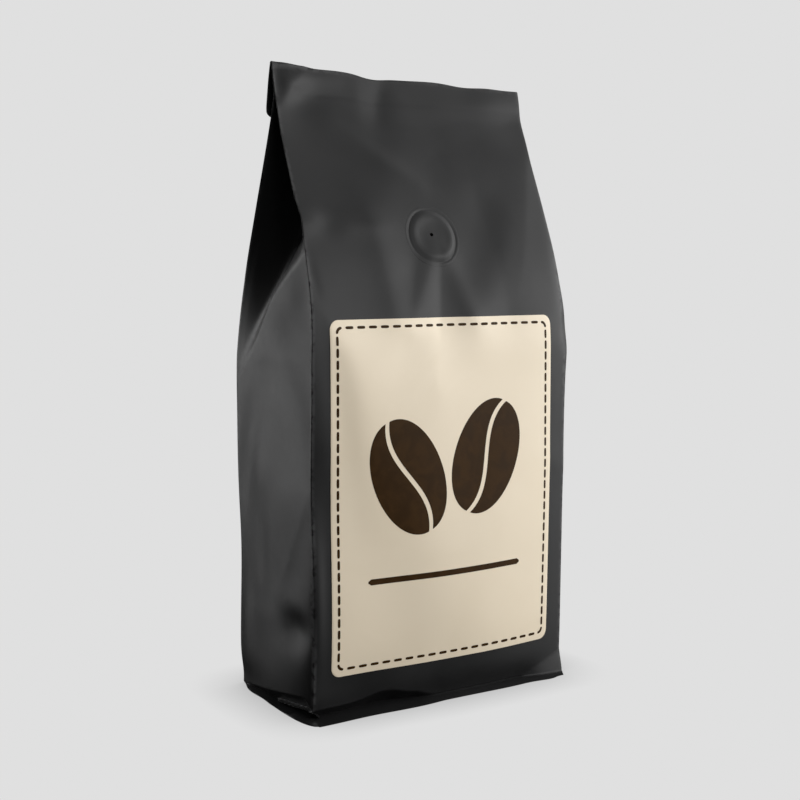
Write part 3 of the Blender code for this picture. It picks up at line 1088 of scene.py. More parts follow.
@dataclass
class Valve:
    """The one-way valve: a round plate under the film that shows as a ring, a dished middle and a pinhole."""

    tube: FilmTube
    groove_radius: float = 11.2 * MM
    crest_radius: float = 8.8 * MM
    dish_radius: float = 6.0 * MM
    dish_floor: float = 2 * MM
    dish_depth: float = 0.1 * MM
    crest_height: float = 0.46 * MM
    crest_inside: float = 2.5 * MM
    crest_outside: float = 1.4 * MM
    groove_depth: float = 0.30 * MM
    groove_least_share: float = 0.3
    groove_width: float = 0.55 * MM
    groove_turn: float = math.radians(155)
    pinhole_radius: float = 0.75 * MM
    pinhole_depth: float = 2.0 * MM
    pinhole_floor: float = 0.72
    pinhole_rings: tuple[float, ...] = (0.0, 0.4, 0.7, 0.8, 0.9, 1.0, 1.25)
    pinhole_shift: tuple[float, float] = (-0.5 * MM, 0.8 * MM)
    cover: float = 13.2 * MM
    lift: float = 0.03 * MM
    rim_sink: float = 0.35 * MM
    rim_width: float = 0.25 * MM
    thickness: float = 0.2 * MM
    dish_steps: int = 9
    ring_steps: int = 42
    spokes: int = 128

    def profile(self, radius: np.ndarray, angle: np.ndarray) -> np.ndarray:
        """Height of the relief above the film; the groove is deeper on two opposite sides.

        Args:
            radius: Distances from the valve's middle.
            angle: Directions from the valve's middle.

        Returns:
            The height at each place.
        """
        inside = self.crest_height * bell(radius, self.crest_radius, self.crest_inside)
        outside = self.crest_height * bell(radius, self.crest_radius, self.crest_outside)
        crest = np.where(radius < self.crest_radius, inside, outside)
        least = self.groove_least_share
        deep = least + (1 - least) * np.cos(angle - self.groove_turn) ** 2
        groove = -self.groove_depth * deep * bell(radius, self.groove_radius, self.groove_width)
        dish = -self.dish_depth * (1 - smooth_step(radius, self.dish_floor, self.dish_radius))
        wall_start = self.pinhole_floor * self.pinhole_radius
        hole = -self.pinhole_depth * (1 - smooth_step(radius, wall_start, self.pinhole_radius))
        return crest + groove + dish + hole

    def radii(self) -> np.ndarray:
        """Distances of the rings of points from the middle, close together where the relief turns.

        Returns:
            The distances.
        """
        hole = np.array(self.pinhole_rings) * self.pinhole_radius
        inner = np.linspace(2 * self.pinhole_radius, self.dish_radius, self.dish_steps)
        outer = np.linspace(self.dish_radius, self.cover, self.ring_steps)[1:]
        return np.concatenate([hole, inner, outer])

    def build(self) -> bpy.types.Object:
        """The valve's relief as a round piece of film that lies on the front.

        Returns:
            The piece.
        """
        angles = np.linspace(0, 2 * math.pi, self.spokes + 1)
        radius, angle = np.meshgrid(self.radii(), angles, indexing="ij")
        slope = self.tube.form.front_slope
        steepness = math.hypot(1.0, slope)
        shift = np.clip(1 - radius / self.dish_radius, 0, 1)
        x = self.tube.valve_place[0] + radius * np.cos(angle) + self.pinhole_shift[0] * shift
        up = radius * np.sin(angle) + self.pinhole_shift[1] * shift
        z = self.tube.valve_place[1] + up / steepness
        rim = self.rim_sink * smooth_step(radius, self.cover - self.rim_width, self.cover)
        rise = self.profile(radius, angle) + self.lift - rim
        normal = np.array([0.0, -1.0, slope]) / steepness
        points = np.stack([x, -self.tube.front_surface(x, z), z], axis=-1) + rise[..., None] * normal
        valve = sheet_from_rows("valve_relief", points)
        merge_points(valve)
        face_forward(valve)
        thicken(valve, self.thickness, -1.0)
        shade(valve, sharpest=60)
        return valve


@dataclass
class BackSeam:
    """The long seam up the back: a lapped strip of film, sealed with fine ribs, one edge standing off."""

    tube: FilmTube
    middle: float = 3 * MM
    width: float = 9 * MM
    bottom: float = 2.6 * MM
    top: float = 223 * MM
    thickness: float = 0.16 * MM
    lift: float = 0.06 * MM
    free_edge_lift: float = 0.35 * MM
    free_edge_start: float = 0.7
    free_edge_unevenness: float = 0.5
    free_edge_wave: float = 11 * MM
    wander: float = 0.3 * MM
    wander_length: float = 140 * MM
    rib_pitch: float = 1.6 * MM
    rib_rise: float = 0.05 * MM
    rows: int = 700
    columns: int = 10

    def build(self) -> bpy.types.Object:
        """The strip as a thin solid that follows the back.

        Returns:
            The piece.
        """
        share, z = np.meshgrid(np.linspace(0, 1, self.columns + 1),
                               np.linspace(self.bottom, self.top, self.rows + 1))
        wander = self.wander * np.sin(2 * math.pi * z / self.wander_length)
        x = self.middle + (share - 0.5) * self.width + wander
        rib = self.rib_rise * np.cos(2 * math.pi * z / self.rib_pitch) * np.sin(math.pi * share) ** 0.5
        wave = 1 + self.free_edge_unevenness * np.sin(z / self.free_edge_wave)
        free = self.free_edge_lift * smooth_step(share, self.free_edge_start, 1.0) * wave
        y = self.tube.back_surface(x, z) + self.lift + self.rib_rise + rib + free
        seam = sheet_from_rows("back_seam", np.stack([x + self.tube.sideways, y, z], axis=-1))
        face_forward(seam)
        thicken(seam, self.thickness, 1.0)
        shade(seam, sharpest=40)
        return seam


@dataclass(frozen=True)
class Bean:
    """A printed coffee bean on the flat label: two halves with a waved slit between them."""

    centre: tuple[float, float]
    tilt: float
    half_length: float = 23.5 * MM
    half_breadth: float = 15.5 * MM
    slit: float = 0.95 * MM
    wave: float = 3.6 * MM
    fullness: float = 0.92
    least_breadth: float = 0.25 * MM
    blunt_end: float = 0.03
    steps_up: int = 41
    steps_across: int = 9

    def half(self, side: int) -> tuple[np.ndarray, np.ndarray]:
        """One half of the bean, between its rim and its slit.

        Args:
            side: 1 for the right half, -1 for the left.

        Returns:
            x and z of a grid of flat places.
        """
        t = np.linspace(self.blunt_end, 1 - self.blunt_end, self.steps_up)
        inner = self.wave * np.sin(2 * math.pi * t) * np.sin(math.pi * t) + side * self.slit
        rim = self.half_breadth * np.sin(math.pi * t) ** self.fullness
        outer = side * np.maximum(rim, side * inner + self.least_breadth)
        share = np.linspace(0, 1, self.steps_across)[:, None]
        x = inner[None, :] + (outer - inner)[None, :] * share
        z = np.repeat(-self.half_length * np.cos(math.pi * t)[None, :], self.steps_across, axis=0)
        lean = math.radians(self.tilt)
        turned_x = self.centre[0] + x * math.cos(lean) - z * math.sin(lean)
        turned_z = self.centre[1] + x * math.sin(lean) + z * math.cos(lean)
        return turned_x, turned_z


@dataclass
class Label:
    """The label: a thin satin sheet with round corners that follows the film, with its print."""

    tube: FilmTube
    left: float
    right: float
    bottom: float
    top: float
    corner: float = 3.8 * MM
    corner_rows: int = 9
    thickness: float = 0.16 * MM
    soft_edge: float = 0.05 * MM
    gap: float = 0.04 * MM
    columns: int = 104
    rows: int = 130
    skew: tuple[float, float] = (-0.35 * MM, 0.7 * MM)
    flare: float = 0.55 * MM
    inset: float = 2.9 * MM
    dash_length: float = 3.4 * MM
    dash_width: float = 1.08 * MM
    dash_end_loss: float = 0.35
    dash_corner: float = 2.0 * MM
    dash_steps: int = 7
    dashes_across: int = 18
    dashes_up: int = 28
    ink: float = 0.04 * MM
    emblem_shift: float = -0.8 * MM
    bean_distance: float = 18.5 * MM
    bean_heights: tuple[float, float] = (90 * MM, 95.5 * MM)
    bean_tilt: float = 24
    bar_height: float = 51 * MM
    bar_half_length: float = 36 * MM
    bar_half_width: float = 1.15 * MM
    bar_end_start: float = 34.9 * MM
    bar_end_bluntness: float = 0.02
    bar_steps: tuple[int, int] = (61, 4)

    def place(self, x: np.ndarray, z: np.ndarray, lift: float) -> np.ndarray:
        """Points on the label at flat places, at a distance above the film.

        Args:
            x: Places across the flat label.
            z: Places up the flat label.
            lift: Distance ahead of the film.

        Returns:
            Points as (x, y, z), along a new last axis.
        """
        share_x = (x - self.left) / (self.right - self.left)
        share_z = (z - self.bottom) / (self.top - self.bottom)
        z = z + share_z * (self.skew[0] + (self.skew[1] - self.skew[0]) * share_x)
        x = x + (share_z - 0.5) * self.flare * (2 * share_x - 1)
        y = -self.tube.front_surface(x, z) - lift
        return np.stack([x, y, z], axis=-1)

    def build_sheet(self) -> bpy.types.Object:
        """The sheet of the label, with round corners and a softened rim.

        Returns:
            The piece.
        """
        arc = self.corner * (1 - np.cos(np.linspace(0, math.pi / 2, self.corner_rows)))
        middle = np.linspace(self.bottom + self.corner, self.top - self.corner, self.rows)[1:-1]
        heights = np.concatenate([self.bottom + arc, middle, self.top - arc[::-1]])
        inside = np.minimum(np.minimum(heights - self.bottom, self.top - heights), self.corner)
        cut = self.corner - np.sqrt(np.maximum(self.corner**2 - (self.corner - inside) ** 2, 0.0))
        share = np.linspace(0, 1, self.columns + 1)
        left, right = self.left + cut, self.right - cut
        x = left[:, None] + (right - left)[:, None] * share[None, :]
        z = np.repeat(heights[:, None], self.columns + 1, axis=1)
        sheet = sheet_from_rows("label_sheet", self.place(x, z, self.gap))
        face_forward(sheet)
        thicken(sheet, self.thickness, 1.0)
        soft = sheet.modifiers.new("soft_edge", "BEVEL")
        soft.width = self.soft_edge
        soft.segments = 2
        soft.limit_method = "ANGLE"
        soft.angle_limit = math.radians(60)
        apply_modifiers(sheet)
        shade(sheet, sharpest=50)
        return sheet

    def ink_patch(self, name: str, x: np.ndarray, z: np.ndarray) -> bpy.types.Object:
        """A patch of print over a grid of flat places.

        Args:
            name: Name of the patch.
            x: Places across the flat label.
            z: Places up the flat label.

        Returns:
            The patch.
        """
        patch = sheet_from_rows(name, self.place(x, z, self.gap + self.thickness))
        face_forward(patch)
        return patch

    def border_point(self, way: np.ndarray) -> tuple[np.ndarray, np.ndarray, np.ndarray, np.ndarray]:
        """Places and directions on the border's rounded rectangle.

        Args:
            way: Distances along it, from the left end of its bottom side, to the right.

        Returns:
            x, z and the direction of travel as two arrays.
        """
        low_x, high_x = self.left + self.inset, self.right - self.inset
        low_z, high_z = self.bottom + self.inset, self.top - self.inset
        r = self.dash_corner
        across, up, arc = high_x - low_x - 2 * r, high_z - low_z - 2 * r, math.pi / 2 * r
        starts = np.cumsum([0, across, arc, up, arc, across, arc, up, arc])
        way = np.mod(way, starts[-1])
        piece = np.searchsorted(starts, way, side="right") - 1
        along = way - starts[piece]
        corners = ((low_x + r, low_z), (high_x, low_z + r), (high_x - r, high_z), (low_x, high_z - r))
        x, z, turn = np.zeros_like(way), np.zeros_like(way), np.zeros_like(way)
        for side, start in enumerate(corners):
            heading = side * math.pi / 2
            straight, bend = piece == 2 * side, piece == 2 * side + 1
            run = (across, up)[side % 2]
            x[straight] = start[0] + np.cos(heading) * along[straight]
            z[straight] = start[1] + np.sin(heading) * along[straight]
            turn[straight] = heading
            swing = along[bend] / r
            ahead, aside = run + r * np.sin(swing), r * (1 - np.cos(swing))
            x[bend] = start[0] + math.cos(heading) * ahead - math.sin(heading) * aside
            z[bend] = start[1] + math.sin(heading) * ahead + math.cos(heading) * aside
            turn[bend] = heading + swing
        return x, z, np.cos(turn), np.sin(turn)

    def dash_starts(self) -> list[float]:
        """Distances along the border where the dashes start, one dash on each corner.

        Returns:
            The distances.
        """
        r = self.dash_corner
        across = self.right - self.left - 2 * self.inset - 2 * r
        up = self.top - self.bottom - 2 * self.inset - 2 * r
        arc = math.pi / 2 * r
        starts, way = [], 0.0
        for run, count in ((across, self.dashes_across), (up, self.dashes_up)) * 2:
            pitch = (run + arc) / (count + 1)
            first = way - arc / 2
            starts += [first + pitch * k - self.dash_length / 2 for k in range(1, count + 2)]
            way += run + arc
        return starts

    def build_border(self) -> bpy.types.Object:
        """The dashed border: short flat dashes of ink with soft ends.

        Returns:
            The piece.
        """
        along = np.linspace(0, 1, self.dash_steps)
        aside = np.array([-0.5, 0.0, 0.5])
        round_end = 1 - self.dash_end_loss * np.abs(2 * along - 1) ** 6
        wide = self.dash_width * aside[:, None] * round_end[None, :]
        dashes = []
        for start in self.dash_starts():
            x, z, go_x, go_z = self.border_point(start + along * self.dash_length)
            dashes.append(self.ink_patch("dash", x - go_z * wide, z + go_x * wide))
        border = join(dashes, "label_border")
        thicken(border, self.ink, 1.0)
        return border

    def build_emblem(self) -> bpy.types.Object:
        """A plain drawing of two coffee beans above a bar, as print.

        Returns:
            The piece.
        """
        middle = (self.left + self.right) / 2 + self.emblem_shift
        patches = []
        for side, height in zip((-1, 1), self.bean_heights):
            bean = Bean((middle + side * self.bean_distance, height), -side * self.bean_tilt)
            patches += [self.ink_patch("bean_half", *bean.half(half)) for half in (-1, 1)]
        columns, rows = self.bar_steps
        across = np.linspace(-self.bar_half_length, self.bar_half_length, columns)
        past = np.maximum((np.abs(across) - self.bar_end_start) / self.bar_half_width, 0)
        taper = np.sqrt(np.maximum(1 - past**2, self.bar_end_bluntness))
        bar_x = middle + np.repeat(across[None, :], rows, axis=0)
        bar_z = self.bar_height + self.bar_half_width * np.linspace(-1, 1, rows)[:, None] * taper[None, :]
        patches.append(self.ink_patch("bar", bar_x, bar_z))
        emblem = join(patches, "label_emblem")
        thicken(emblem, self.ink, 1.0)
        return emblem


def feed(tree: bpy.types.NodeTree, socket: bpy.types.NodeSocket, value: object) -> None:
    """Links a socket to an input or, when the value is a number or a colour, sets it there.

    Args:
        tree: The tree that both stand in.
        socket: The input.
        value: An output's socket, a number or three shares of red, green and blue.
    """
    if isinstance(value, bpy.types.NodeSocket):
        tree.links.new(value, socket)
    elif isinstance(value, tuple):
        socket.default_value = (*value, 1.0)
    else:
        socket.default_value = value


def colour_mix(tree: bpy.types.NodeTree, mask: bpy.types.NodeSocket, first: object,
               second: object) -> bpy.types.NodeSocket:
    """A colour that goes from the first to the second with a mask.

    Args:
        tree: The tree that it stands in.
        mask: The mask.
        first: Colour where the mask is zero.
        second: Colour where it is one.

    Returns:
        The colour's socket.
    """
    node = tree.nodes.new("ShaderNodeMix")
    node.data_type = "RGBA"
    tree.links.new(mask, node.inputs["Factor"])
    feed(tree, node.inputs[COLOUR_A], first)
    feed(tree, node.inputs[COLOUR_B], second)
    return node.outputs[MIXED_COLOUR]


class Shaders:
    """Node groups that more than one finish uses. Each puts out a mask or a height."""

    @staticmethod
    def group(name: str, inputs: dict[str, float], outputs: tuple[str, ...]) -> bpy.types.NodeTree:
        """A new shader node group with a vector input for the place and its named values.

        Args:
            name: Name of the group.
            inputs: Value inputs and their defaults.
            outputs: Value outputs.

        Returns:
            The group, with only its input and output nodes in it.
        """
        tree = bpy.data.node_groups.new(name, "ShaderNodeTree")
        tree.interface.new_socket("Place", in_out="INPUT", socket_type="NodeSocketVector")
        for label, value in inputs.items():
            socket = tree.interface.new_socket(label, in_out="INPUT", socket_type="NodeSocketFloat")
            socket.default_value = value
        for label in outputs:
            tree.interface.new_socket(label, in_out="OUTPUT", socket_type="NodeSocketFloat")
        tree.nodes.new("NodeGroupInput").name = "in"
        tree.nodes.new("NodeGroupOutput").name = "out"
        return tree

    @staticmethod
    def noise(tree: bpy.types.NodeTree, place: bpy.types.NodeSocket, detail: float) -> bpy.types.Node:
        """A noise texture read at a place.

        Args:
            tree: The tree that it stands in.
            place: The place that it reads.
            detail: How many finer layers it has.

        Returns:
            The noise node.
        """
        node = tree.nodes.new("ShaderNodeTexNoise")
        node.inputs["Detail"].default_value = detail
        tree.links.new(place, node.inputs["Vector"])
        return node

    @staticmethod
    def math(tree: bpy.types.NodeTree, operation: str, first: object, second: object) -> bpy.types.NodeSocket:
        """The result of a sum on two sockets or numbers.

        Args:
            tree: The tree that it stands in.
            operation: Blender's name of the sum.
            first: A socket or a number.
            second: Another socket or number.

        Returns:
            The result's socket.
        """
        node = tree.nodes.new("ShaderNodeMath")
        node.operation = operation
        for socket, value in zip(node.inputs, (first, second)):
            feed(tree, socket, value)
        return node.outputs[0]

    @staticmethod
    def ranged(tree: bpy.types.NodeTree, value: bpy.types.NodeSocket, low: float,
               high: float) -> bpy.types.NodeSocket:
        """A value's part between two bounds, stretched to run from zero to one with soft ends.

        Args:
            tree: The tree that it stands in.
            value: The value.
            low: The bound that becomes zero.
            high: The bound that becomes one.

        Returns:
            The result's socket.
        """
        node = tree.nodes.new("ShaderNodeMapRange")
        node.interpolation_type = "SMOOTHSTEP"
        node.inputs["From Min"].default_value = low
        node.inputs["From Max"].default_value = high
        tree.links.new(value, node.inputs["Value"])
        return node.outputs["Result"]

    @classmethod
    def fine_grain(cls) -> bpy.types.NodeTree:
        """Tiny uneven grain: a height for a bump and a mask for the roughness.

        Returns:
            The group.
        """
        tree = cls.group("fine_grain", {"Scale": 2600.0}, ("Height", "Mask"))
        source, sink = tree.nodes["in"], tree.nodes["out"]
        fine = cls.noise(tree, source.outputs["Place"], detail=2.0)
        tree.links.new(source.outputs["Scale"], fine.inputs["Scale"])
        coarse = cls.noise(tree, source.outputs["Place"], detail=1.0)
        tree.links.new(cls.math(tree, "MULTIPLY", source.outputs["Scale"], 0.18), coarse.inputs["Scale"])
        weaker = cls.math(tree, "MULTIPLY", coarse.outputs["Fac"], 0.6)
        tree.links.new(cls.math(tree, "ADD", fine.outputs["Fac"], weaker), sink.inputs["Height"])
        tree.links.new(coarse.outputs["Fac"], sink.inputs["Mask"])
        return tree

    @classmethod
    def handling(cls) -> bpy.types.NodeTree:
        """Large faint smudges where hands and boxes have polished or dulled a surface.

        Returns:
            The group.
        """
        tree = cls.group("handling", {"Scale": 22.0}, ("Mask",))
        source, sink = tree.nodes["in"], tree.nodes["out"]
        cloud = cls.noise(tree, source.outputs["Place"], detail=4.0)
        cloud.inputs["Distortion"].default_value = 0.6
        tree.links.new(source.outputs["Scale"], cloud.inputs["Scale"])
        tree.links.new(cls.ranged(tree, cloud.outputs["Fac"], low=0.35, high=0.7), sink.inputs["Mask"])
        return tree

    @classmethod
    def painted_fold_highlight(cls) -> bpy.types.NodeTree:
        """A painted highlight along folds: the given crease share, broken up by noise.

        Returns:
            The group.
        """
        tree = cls.group("painted_fold_highlight", {"Crease": 0.0, "Scale": 350.0}, ("Mask",))
        source, sink = tree.nodes["in"], tree.nodes["out"]
        rub = cls.noise(tree, source.outputs["Place"], detail=3.0)
        tree.links.new(source.outputs["Scale"], rub.inputs["Scale"])
        broken = cls.ranged(tree, rub.outputs["Fac"], low=0.34, high=0.56)
        # mask of the painted highlight along the folds
        painted_highlight = cls.math(tree, "MULTIPLY", source.outputs["Crease"], broken)
        tree.links.new(painted_highlight, sink.inputs["Mask"])
        return tree


class Groups(Enum):
    """The shared node groups, by what they add to a finish."""

    GRAIN = "fine_grain"
    HANDLING = "handling"
    # the film's painted highlight along its folds
    PAINTED_HIGHLIGHT = "painted_fold_highlight"

    def tree(self) -> bpy.types.NodeTree:
        """The group, built when it is first asked for."""
        found = bpy.data.node_groups.get(self.value)
        return found or getattr(Shaders, self.value)()


class Finish:
    """A material under construction: its shader and the places that its patterns read."""

    def __init__(self, name: str) -> None:
        """Starts a material with a Principled shader.

        Args:
            name: Name of the material.
        """
        self.material = bpy.data.materials.new(name)
        self.material.use_nodes = True
        self.tree = self.material.node_tree
        self.shader = self.tree.nodes["Principled BSDF"]
        self.place = self.tree.nodes.new("ShaderNodeTexCoord").outputs["Object"]

    def give(self, label: str, value: object) -> None:
        """Gives one of the shader's inputs a socket or a number."""
        feed(self.tree, self.shader.inputs[label], value)

    def add(self, group: Groups, **values: object) -> bpy.types.Node:
        """Places a shared group in the material, with its own values.

        Args:
            group: Which group.
            **values: Sockets or numbers for its inputs.

        Returns:
            The group's node.
        """
        node = self.tree.nodes.new("ShaderNodeGroup")
        node.node_tree = group.tree()
        self.tree.links.new(self.place, node.inputs["Place"])
        for label, value in values.items():
            feed(self.tree, node.inputs[label], value)
        return node

    def mix_colour(self, mask: bpy.types.NodeSocket, first: object, second: object) -> bpy.types.NodeSocket:
        """A colour that goes from the first to the second with a mask."""
        return colour_mix(self.tree, mask, first, second)

    def between(self, mask: bpy.types.NodeSocket, low: float, high: float) -> bpy.types.NodeSocket:
        """A value that goes from low to high with a mask."""
        spread = Shaders.math(self.tree, "MULTIPLY", mask, high - low)
        return Shaders.math(self.tree, "ADD", spread, low)

    def bump(self, height: bpy.types.NodeSocket, distance: float, strength: float) -> None:
        """Leads a height to the shader's normal.

        Args:
            height: The height.
            distance: How far its full range stands out.
            strength: Share of it that shows.
        """
        node = self.tree.nodes.new("ShaderNodeBump")
        node.inputs["Distance"].default_value = distance
        node.inputs["Strength"].default_value = strength
        self.tree.links.new(height, node.inputs["Height"])
        self.give("Normal", node.outputs["Normal"])


@dataclass(frozen=True)
class FilmFinish:
    """Satin black film: near-black, finely grained, with duller smudges and a painted highlight along its
    folds.
    """

    name: str = "satin_black_film"
    colour: tuple[float, float, float] = (0.0105, 0.0105, 0.0107)
    dulled: tuple[float, float, float] = (0.0140, 0.0140, 0.0142)
    # colour of the painted highlight along the folds
    painted_highlight: tuple[float, float, float] = (0.085, 0.085, 0.086)
    sheen_level: float = 0.225
    polished_roughness: float = 0.37
    dull_roughness: float = 0.45
    grain_roughness: float = 0.06
    grain_depth: float = 0.01 * MM
    grain_strength: float = 0.35

    def make(self) -> bpy.types.Material:
        """Builds the material.

        Returns:
            The material.
        """
        finish = Finish(self.name)
        smudge = finish.add(Groups.HANDLING, Scale=20.0).outputs["Mask"]
        grain = finish.add(Groups.GRAIN, Scale=2400.0)
        crease = finish.tree.nodes.new("ShaderNodeAttribute")
        crease.attribute_name = CREASE_LAYER
        # paler colour along the folds: a painted highlight, read from the crease layer
        highlight_node = finish.add(Groups.PAINTED_HIGHLIGHT, Scale=420.0, Crease=crease.outputs["Fac"])
        base = finish.mix_colour(smudge, self.colour, self.dulled)
        finish.give("Base Color", finish.mix_colour(highlight_node.outputs["Mask"], base, self.painted_highlight))
        rough = finish.between(smudge, self.polished_roughness, self.dull_roughness)
        grainy = Shaders.math(finish.tree, "MULTIPLY", grain.outputs["Mask"], self.grain_roughness)
        finish.give("Roughness", Shaders.math(finish.tree, "ADD", rough, grainy))
        finish.give("Specular IOR Level", self.sheen_level)
        finish.bump(grain.outputs["Height"], self.grain_depth, self.grain_strength)
        return finish.material


@dataclass(frozen=True)
class LabelFinish:
    """Cream label stock with a satin, faintly fibrous face."""

    name: str = "cream_label_stock"
    colour: tuple[float, float, float] = (0.760, 0.657, 0.501)
    shade: tuple[float, float, float] = (0.737, 0.634, 0.478)
    roughness: float = 0.40
    roughness_more: float = 0.1
    fibre_depth: float = 0.008 * MM
    fibre_strength: float = 0.3

    def make(self) -> bpy.types.Material:
        """Builds the material.

        Returns:
            The material.
        """
        finish = Finish(self.name)
        smudge = finish.add(Groups.HANDLING, Scale=26.0)
        grain = finish.add(Groups.GRAIN, Scale=1500.0)
        finish.give("Base Color", finish.mix_colour(smudge.outputs["Mask"], self.colour, self.shade))
        roughest = self.roughness + self.roughness_more
        finish.give("Roughness", finish.between(grain.outputs["Mask"], self.roughness, roughest))
        finish.bump(grain.outputs["Height"], self.fibre_depth, self.fibre_strength)
        return finish.material


@dataclass(frozen=True)
class InkFinish:
    """Dark brown ink, slightly glossier and unevenly laid."""

    name: str = "dark_brown_ink"
    colour: tuple[float, float, float] = (0.027, 0.0115, 0.0010)
    thin: tuple[float, float, float] = (0.038, 0.0170, 0.0028)
    sheen_level: float = 0.075
    roughness: float = 0.42
    roughness_more: float = 0.08
    fibre_depth: float = 0.006 * MM
    fibre_strength: float = 0.3

    def make(self) -> bpy.types.Material:
        """Builds the material.

        Returns:
            The material.
        """
        finish = Finish(self.name)
        lay = finish.add(Groups.HANDLING, Scale=160.0).outputs["Mask"]
        grain = finish.add(Groups.GRAIN, Scale=1500.0)
        finish.give("Base Color", finish.mix_colour(lay, self.colour, self.thin))
        roughest = self.roughness + self.roughness_more
        finish.give("Roughness", finish.between(lay, self.roughness, roughest))
        finish.give("Specular IOR Level", self.sheen_level)
        finish.bump(grain.outputs["Height"], self.fibre_depth, self.fibre_strength)
        return finish.material


@dataclass(frozen=True)
class Softbox:
    """A rectangular soft light: where it stands, its size and how bright its face is.

    The azimuth is 0 in front of the object and 90 to its right; angles are in degrees.
    """

    name: str
    azimuth: float
    elevation: float
    size: tuple[float, float]
    radiance: float


@dataclass
class Studio:
    """The plain pale floor with a painted contact shadow, the soft lights and the camera."""

    backdrop: float = 0.745
    # darkest tone of the painted contact shadow
    painted_shadow_tone: float = 0.30
    fill: float = 0.02
    shadow_reach: float = 24 * MM
    floor_size: float = 12
    floor_gap: float = 0.05 * MM
    target: tuple[float, float, float] = (-2.5 * MM, -0.8 * MM, 116.4 * MM)
    azimuth: float = -33.62
    elevation: float = 4.92
    distance: float = 0.516
    lens: float = 56.835
    light_distance: float = 1.0
    softboxes: tuple[Softbox, ...] = (
        Softbox("low_right", 40, -14, (0.7, 0.5), 1.19),
        Softbox("low_far_right", 80, -14, (0.7, 0.5), 1.17),
        Softbox("middle", 0, 16, (0.7, 0.5), 1.79),
        Softbox("key_right", 40, 16, (0.7, 0.5), 3.6),
        Softbox("far_right", 80, 16, (0.7, 0.5), 3.18),
        Softbox("high_middle", 0, 44, (0.7, 0.5), 0.92),
        Softbox("high_right", 40, 44, (0.7, 0.5), 0.38),
        Softbox("high_far_right", 80, 44, (0.7, 0.5), 1.5),
        Softbox("back_left", -147, 15, (0.55, 0.6), 2.9),
        Softbox("back_left_low", -143, -8, (0.3, 0.3), 3.3),
        Softbox("far_left", -110, 5, (0.5, 0.5), 0.2),
        Softbox("high_left", -40, 50, (0.8, 0.5), 0.66),
        Softbox("above", 0, 80, (0.7, 0.7), 0.73),
        Softbox("key_core", 50, 5, (0.5, 0.5), 2.49),
    )

    def build_floor(self) -> None:
        """A pale floor of even glowing tone, with a soft contact shadow painted in where the object stands on
        it.
        """
        deselect()
        bpy.ops.mesh.primitive_plane_add(size=self.floor_size, location=(0, 0, -self.floor_gap))
        floor = bpy.context.object
        floor.name = "floor"
        material = bpy.data.materials.new("pale_floor")
        material.use_nodes = True
        tree = material.node_tree
        tree.nodes.clear()
        # painted contact shadow: the floor's tone falls towards the darkest tone where the object is near
        near = tree.nodes.new("ShaderNodeAmbientOcclusion")
        near.samples = 16
        near.inputs["Distance"].default_value = self.shadow_reach
        tone = colour_mix(tree, near.outputs["AO"], (self.painted_shadow_tone,) * 3, (self.backdrop,) * 3)
        glow = tree.nodes.new("ShaderNodeEmission")
        out = tree.nodes.new("ShaderNodeOutputMaterial")
        tree.links.new(tone, glow.inputs["Color"])
        tree.links.new(glow.outputs["Emission"], out.inputs["Surface"])
        floor.data.materials.append(material)
        floor.visible_glossy = False
        floor.visible_diffuse = False
        floor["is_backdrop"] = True

    def build_world(self) -> None:
        """Surroundings: the backdrop's tone behind the object, a faint fill on it."""
        world = bpy.data.worlds.new("studio")
        bpy.context.scene.world = world
        world.use_nodes = True
        tree = world.node_tree
        tree.nodes.clear()
        seen = tree.nodes.new("ShaderNodeLightPath")
        fill = tree.nodes.new("ShaderNodeBackground")
        fill.inputs["Color"].default_value = (1, 1, 1, 1)
        fill.inputs["Strength"].default_value = self.fill
        behind = tree.nodes.new("ShaderNodeBackground")
        behind.inputs["Color"].default_value = (self.backdrop, self.backdrop, self.backdrop, 1)
        mixed = tree.nodes.new("ShaderNodeMixShader")
        out = tree.nodes.new("ShaderNodeOutputWorld")
        tree.links.new(seen.outputs["Is Camera Ray"], mixed.inputs["Fac"])
        tree.links.new(fill.outputs["Background"], mixed.inputs[1])
        tree.links.new(behind.outputs["Background"], mixed.inputs[2])
        tree.links.new(mixed.outputs["Shader"], out.inputs["Surface"])

    def aim(self, name: str, data: bpy.types.ID, azimuth: float, elevation: float,
            distance: float) -> bpy.types.Object:
        """Sets up a light or a camera that looks at the middle of the object.

        Args:
            name: Its name.
            data: The light or the camera.
            azimuth: Degrees to the right of the front.
            elevation: Degrees above the middle.
            distance: Distance from the middle.

        Returns:
            The light or the camera as an object.
        """
        around, up = math.radians(azimuth), math.radians(elevation)
        way = Vector((math.sin(around) * math.cos(up), -math.cos(around) * math.cos(up), math.sin(up)))
        aimed = bpy.data.objects.new(name, data)
        bpy.context.scene.collection.objects.link(aimed)
        aimed.location = Vector(self.target) + distance * way
        aimed.rotation_euler = way.to_track_quat("Z", "Y").to_euler()
        return aimed

    def build_lights(self) -> None:
        """A wide softbox to the right in front, one behind on the left, and weak ones round them."""
        for box in self.softboxes:
            data = bpy.data.lights.new(box.name, "AREA")
            data.shape = "RECTANGLE"
            data.size, data.size_y = box.size
            data.energy = math.pi * box.size[0] * box.size[1] * box.radiance
            self.aim(box.name, data, box.azimuth, box.elevation, self.light_distance)

    def build_camera(self) -> None:
        """The camera, looking at the front and the left side from slightly above."""
        data = bpy.data.cameras.new("camera")
        data.lens = self.lens
        data.sensor_width = 36.0
        data.clip_start = 0.01
        camera = self.aim("camera", data, self.azimuth, self.elevation, self.distance)
        bpy.context.scene.camera = camera


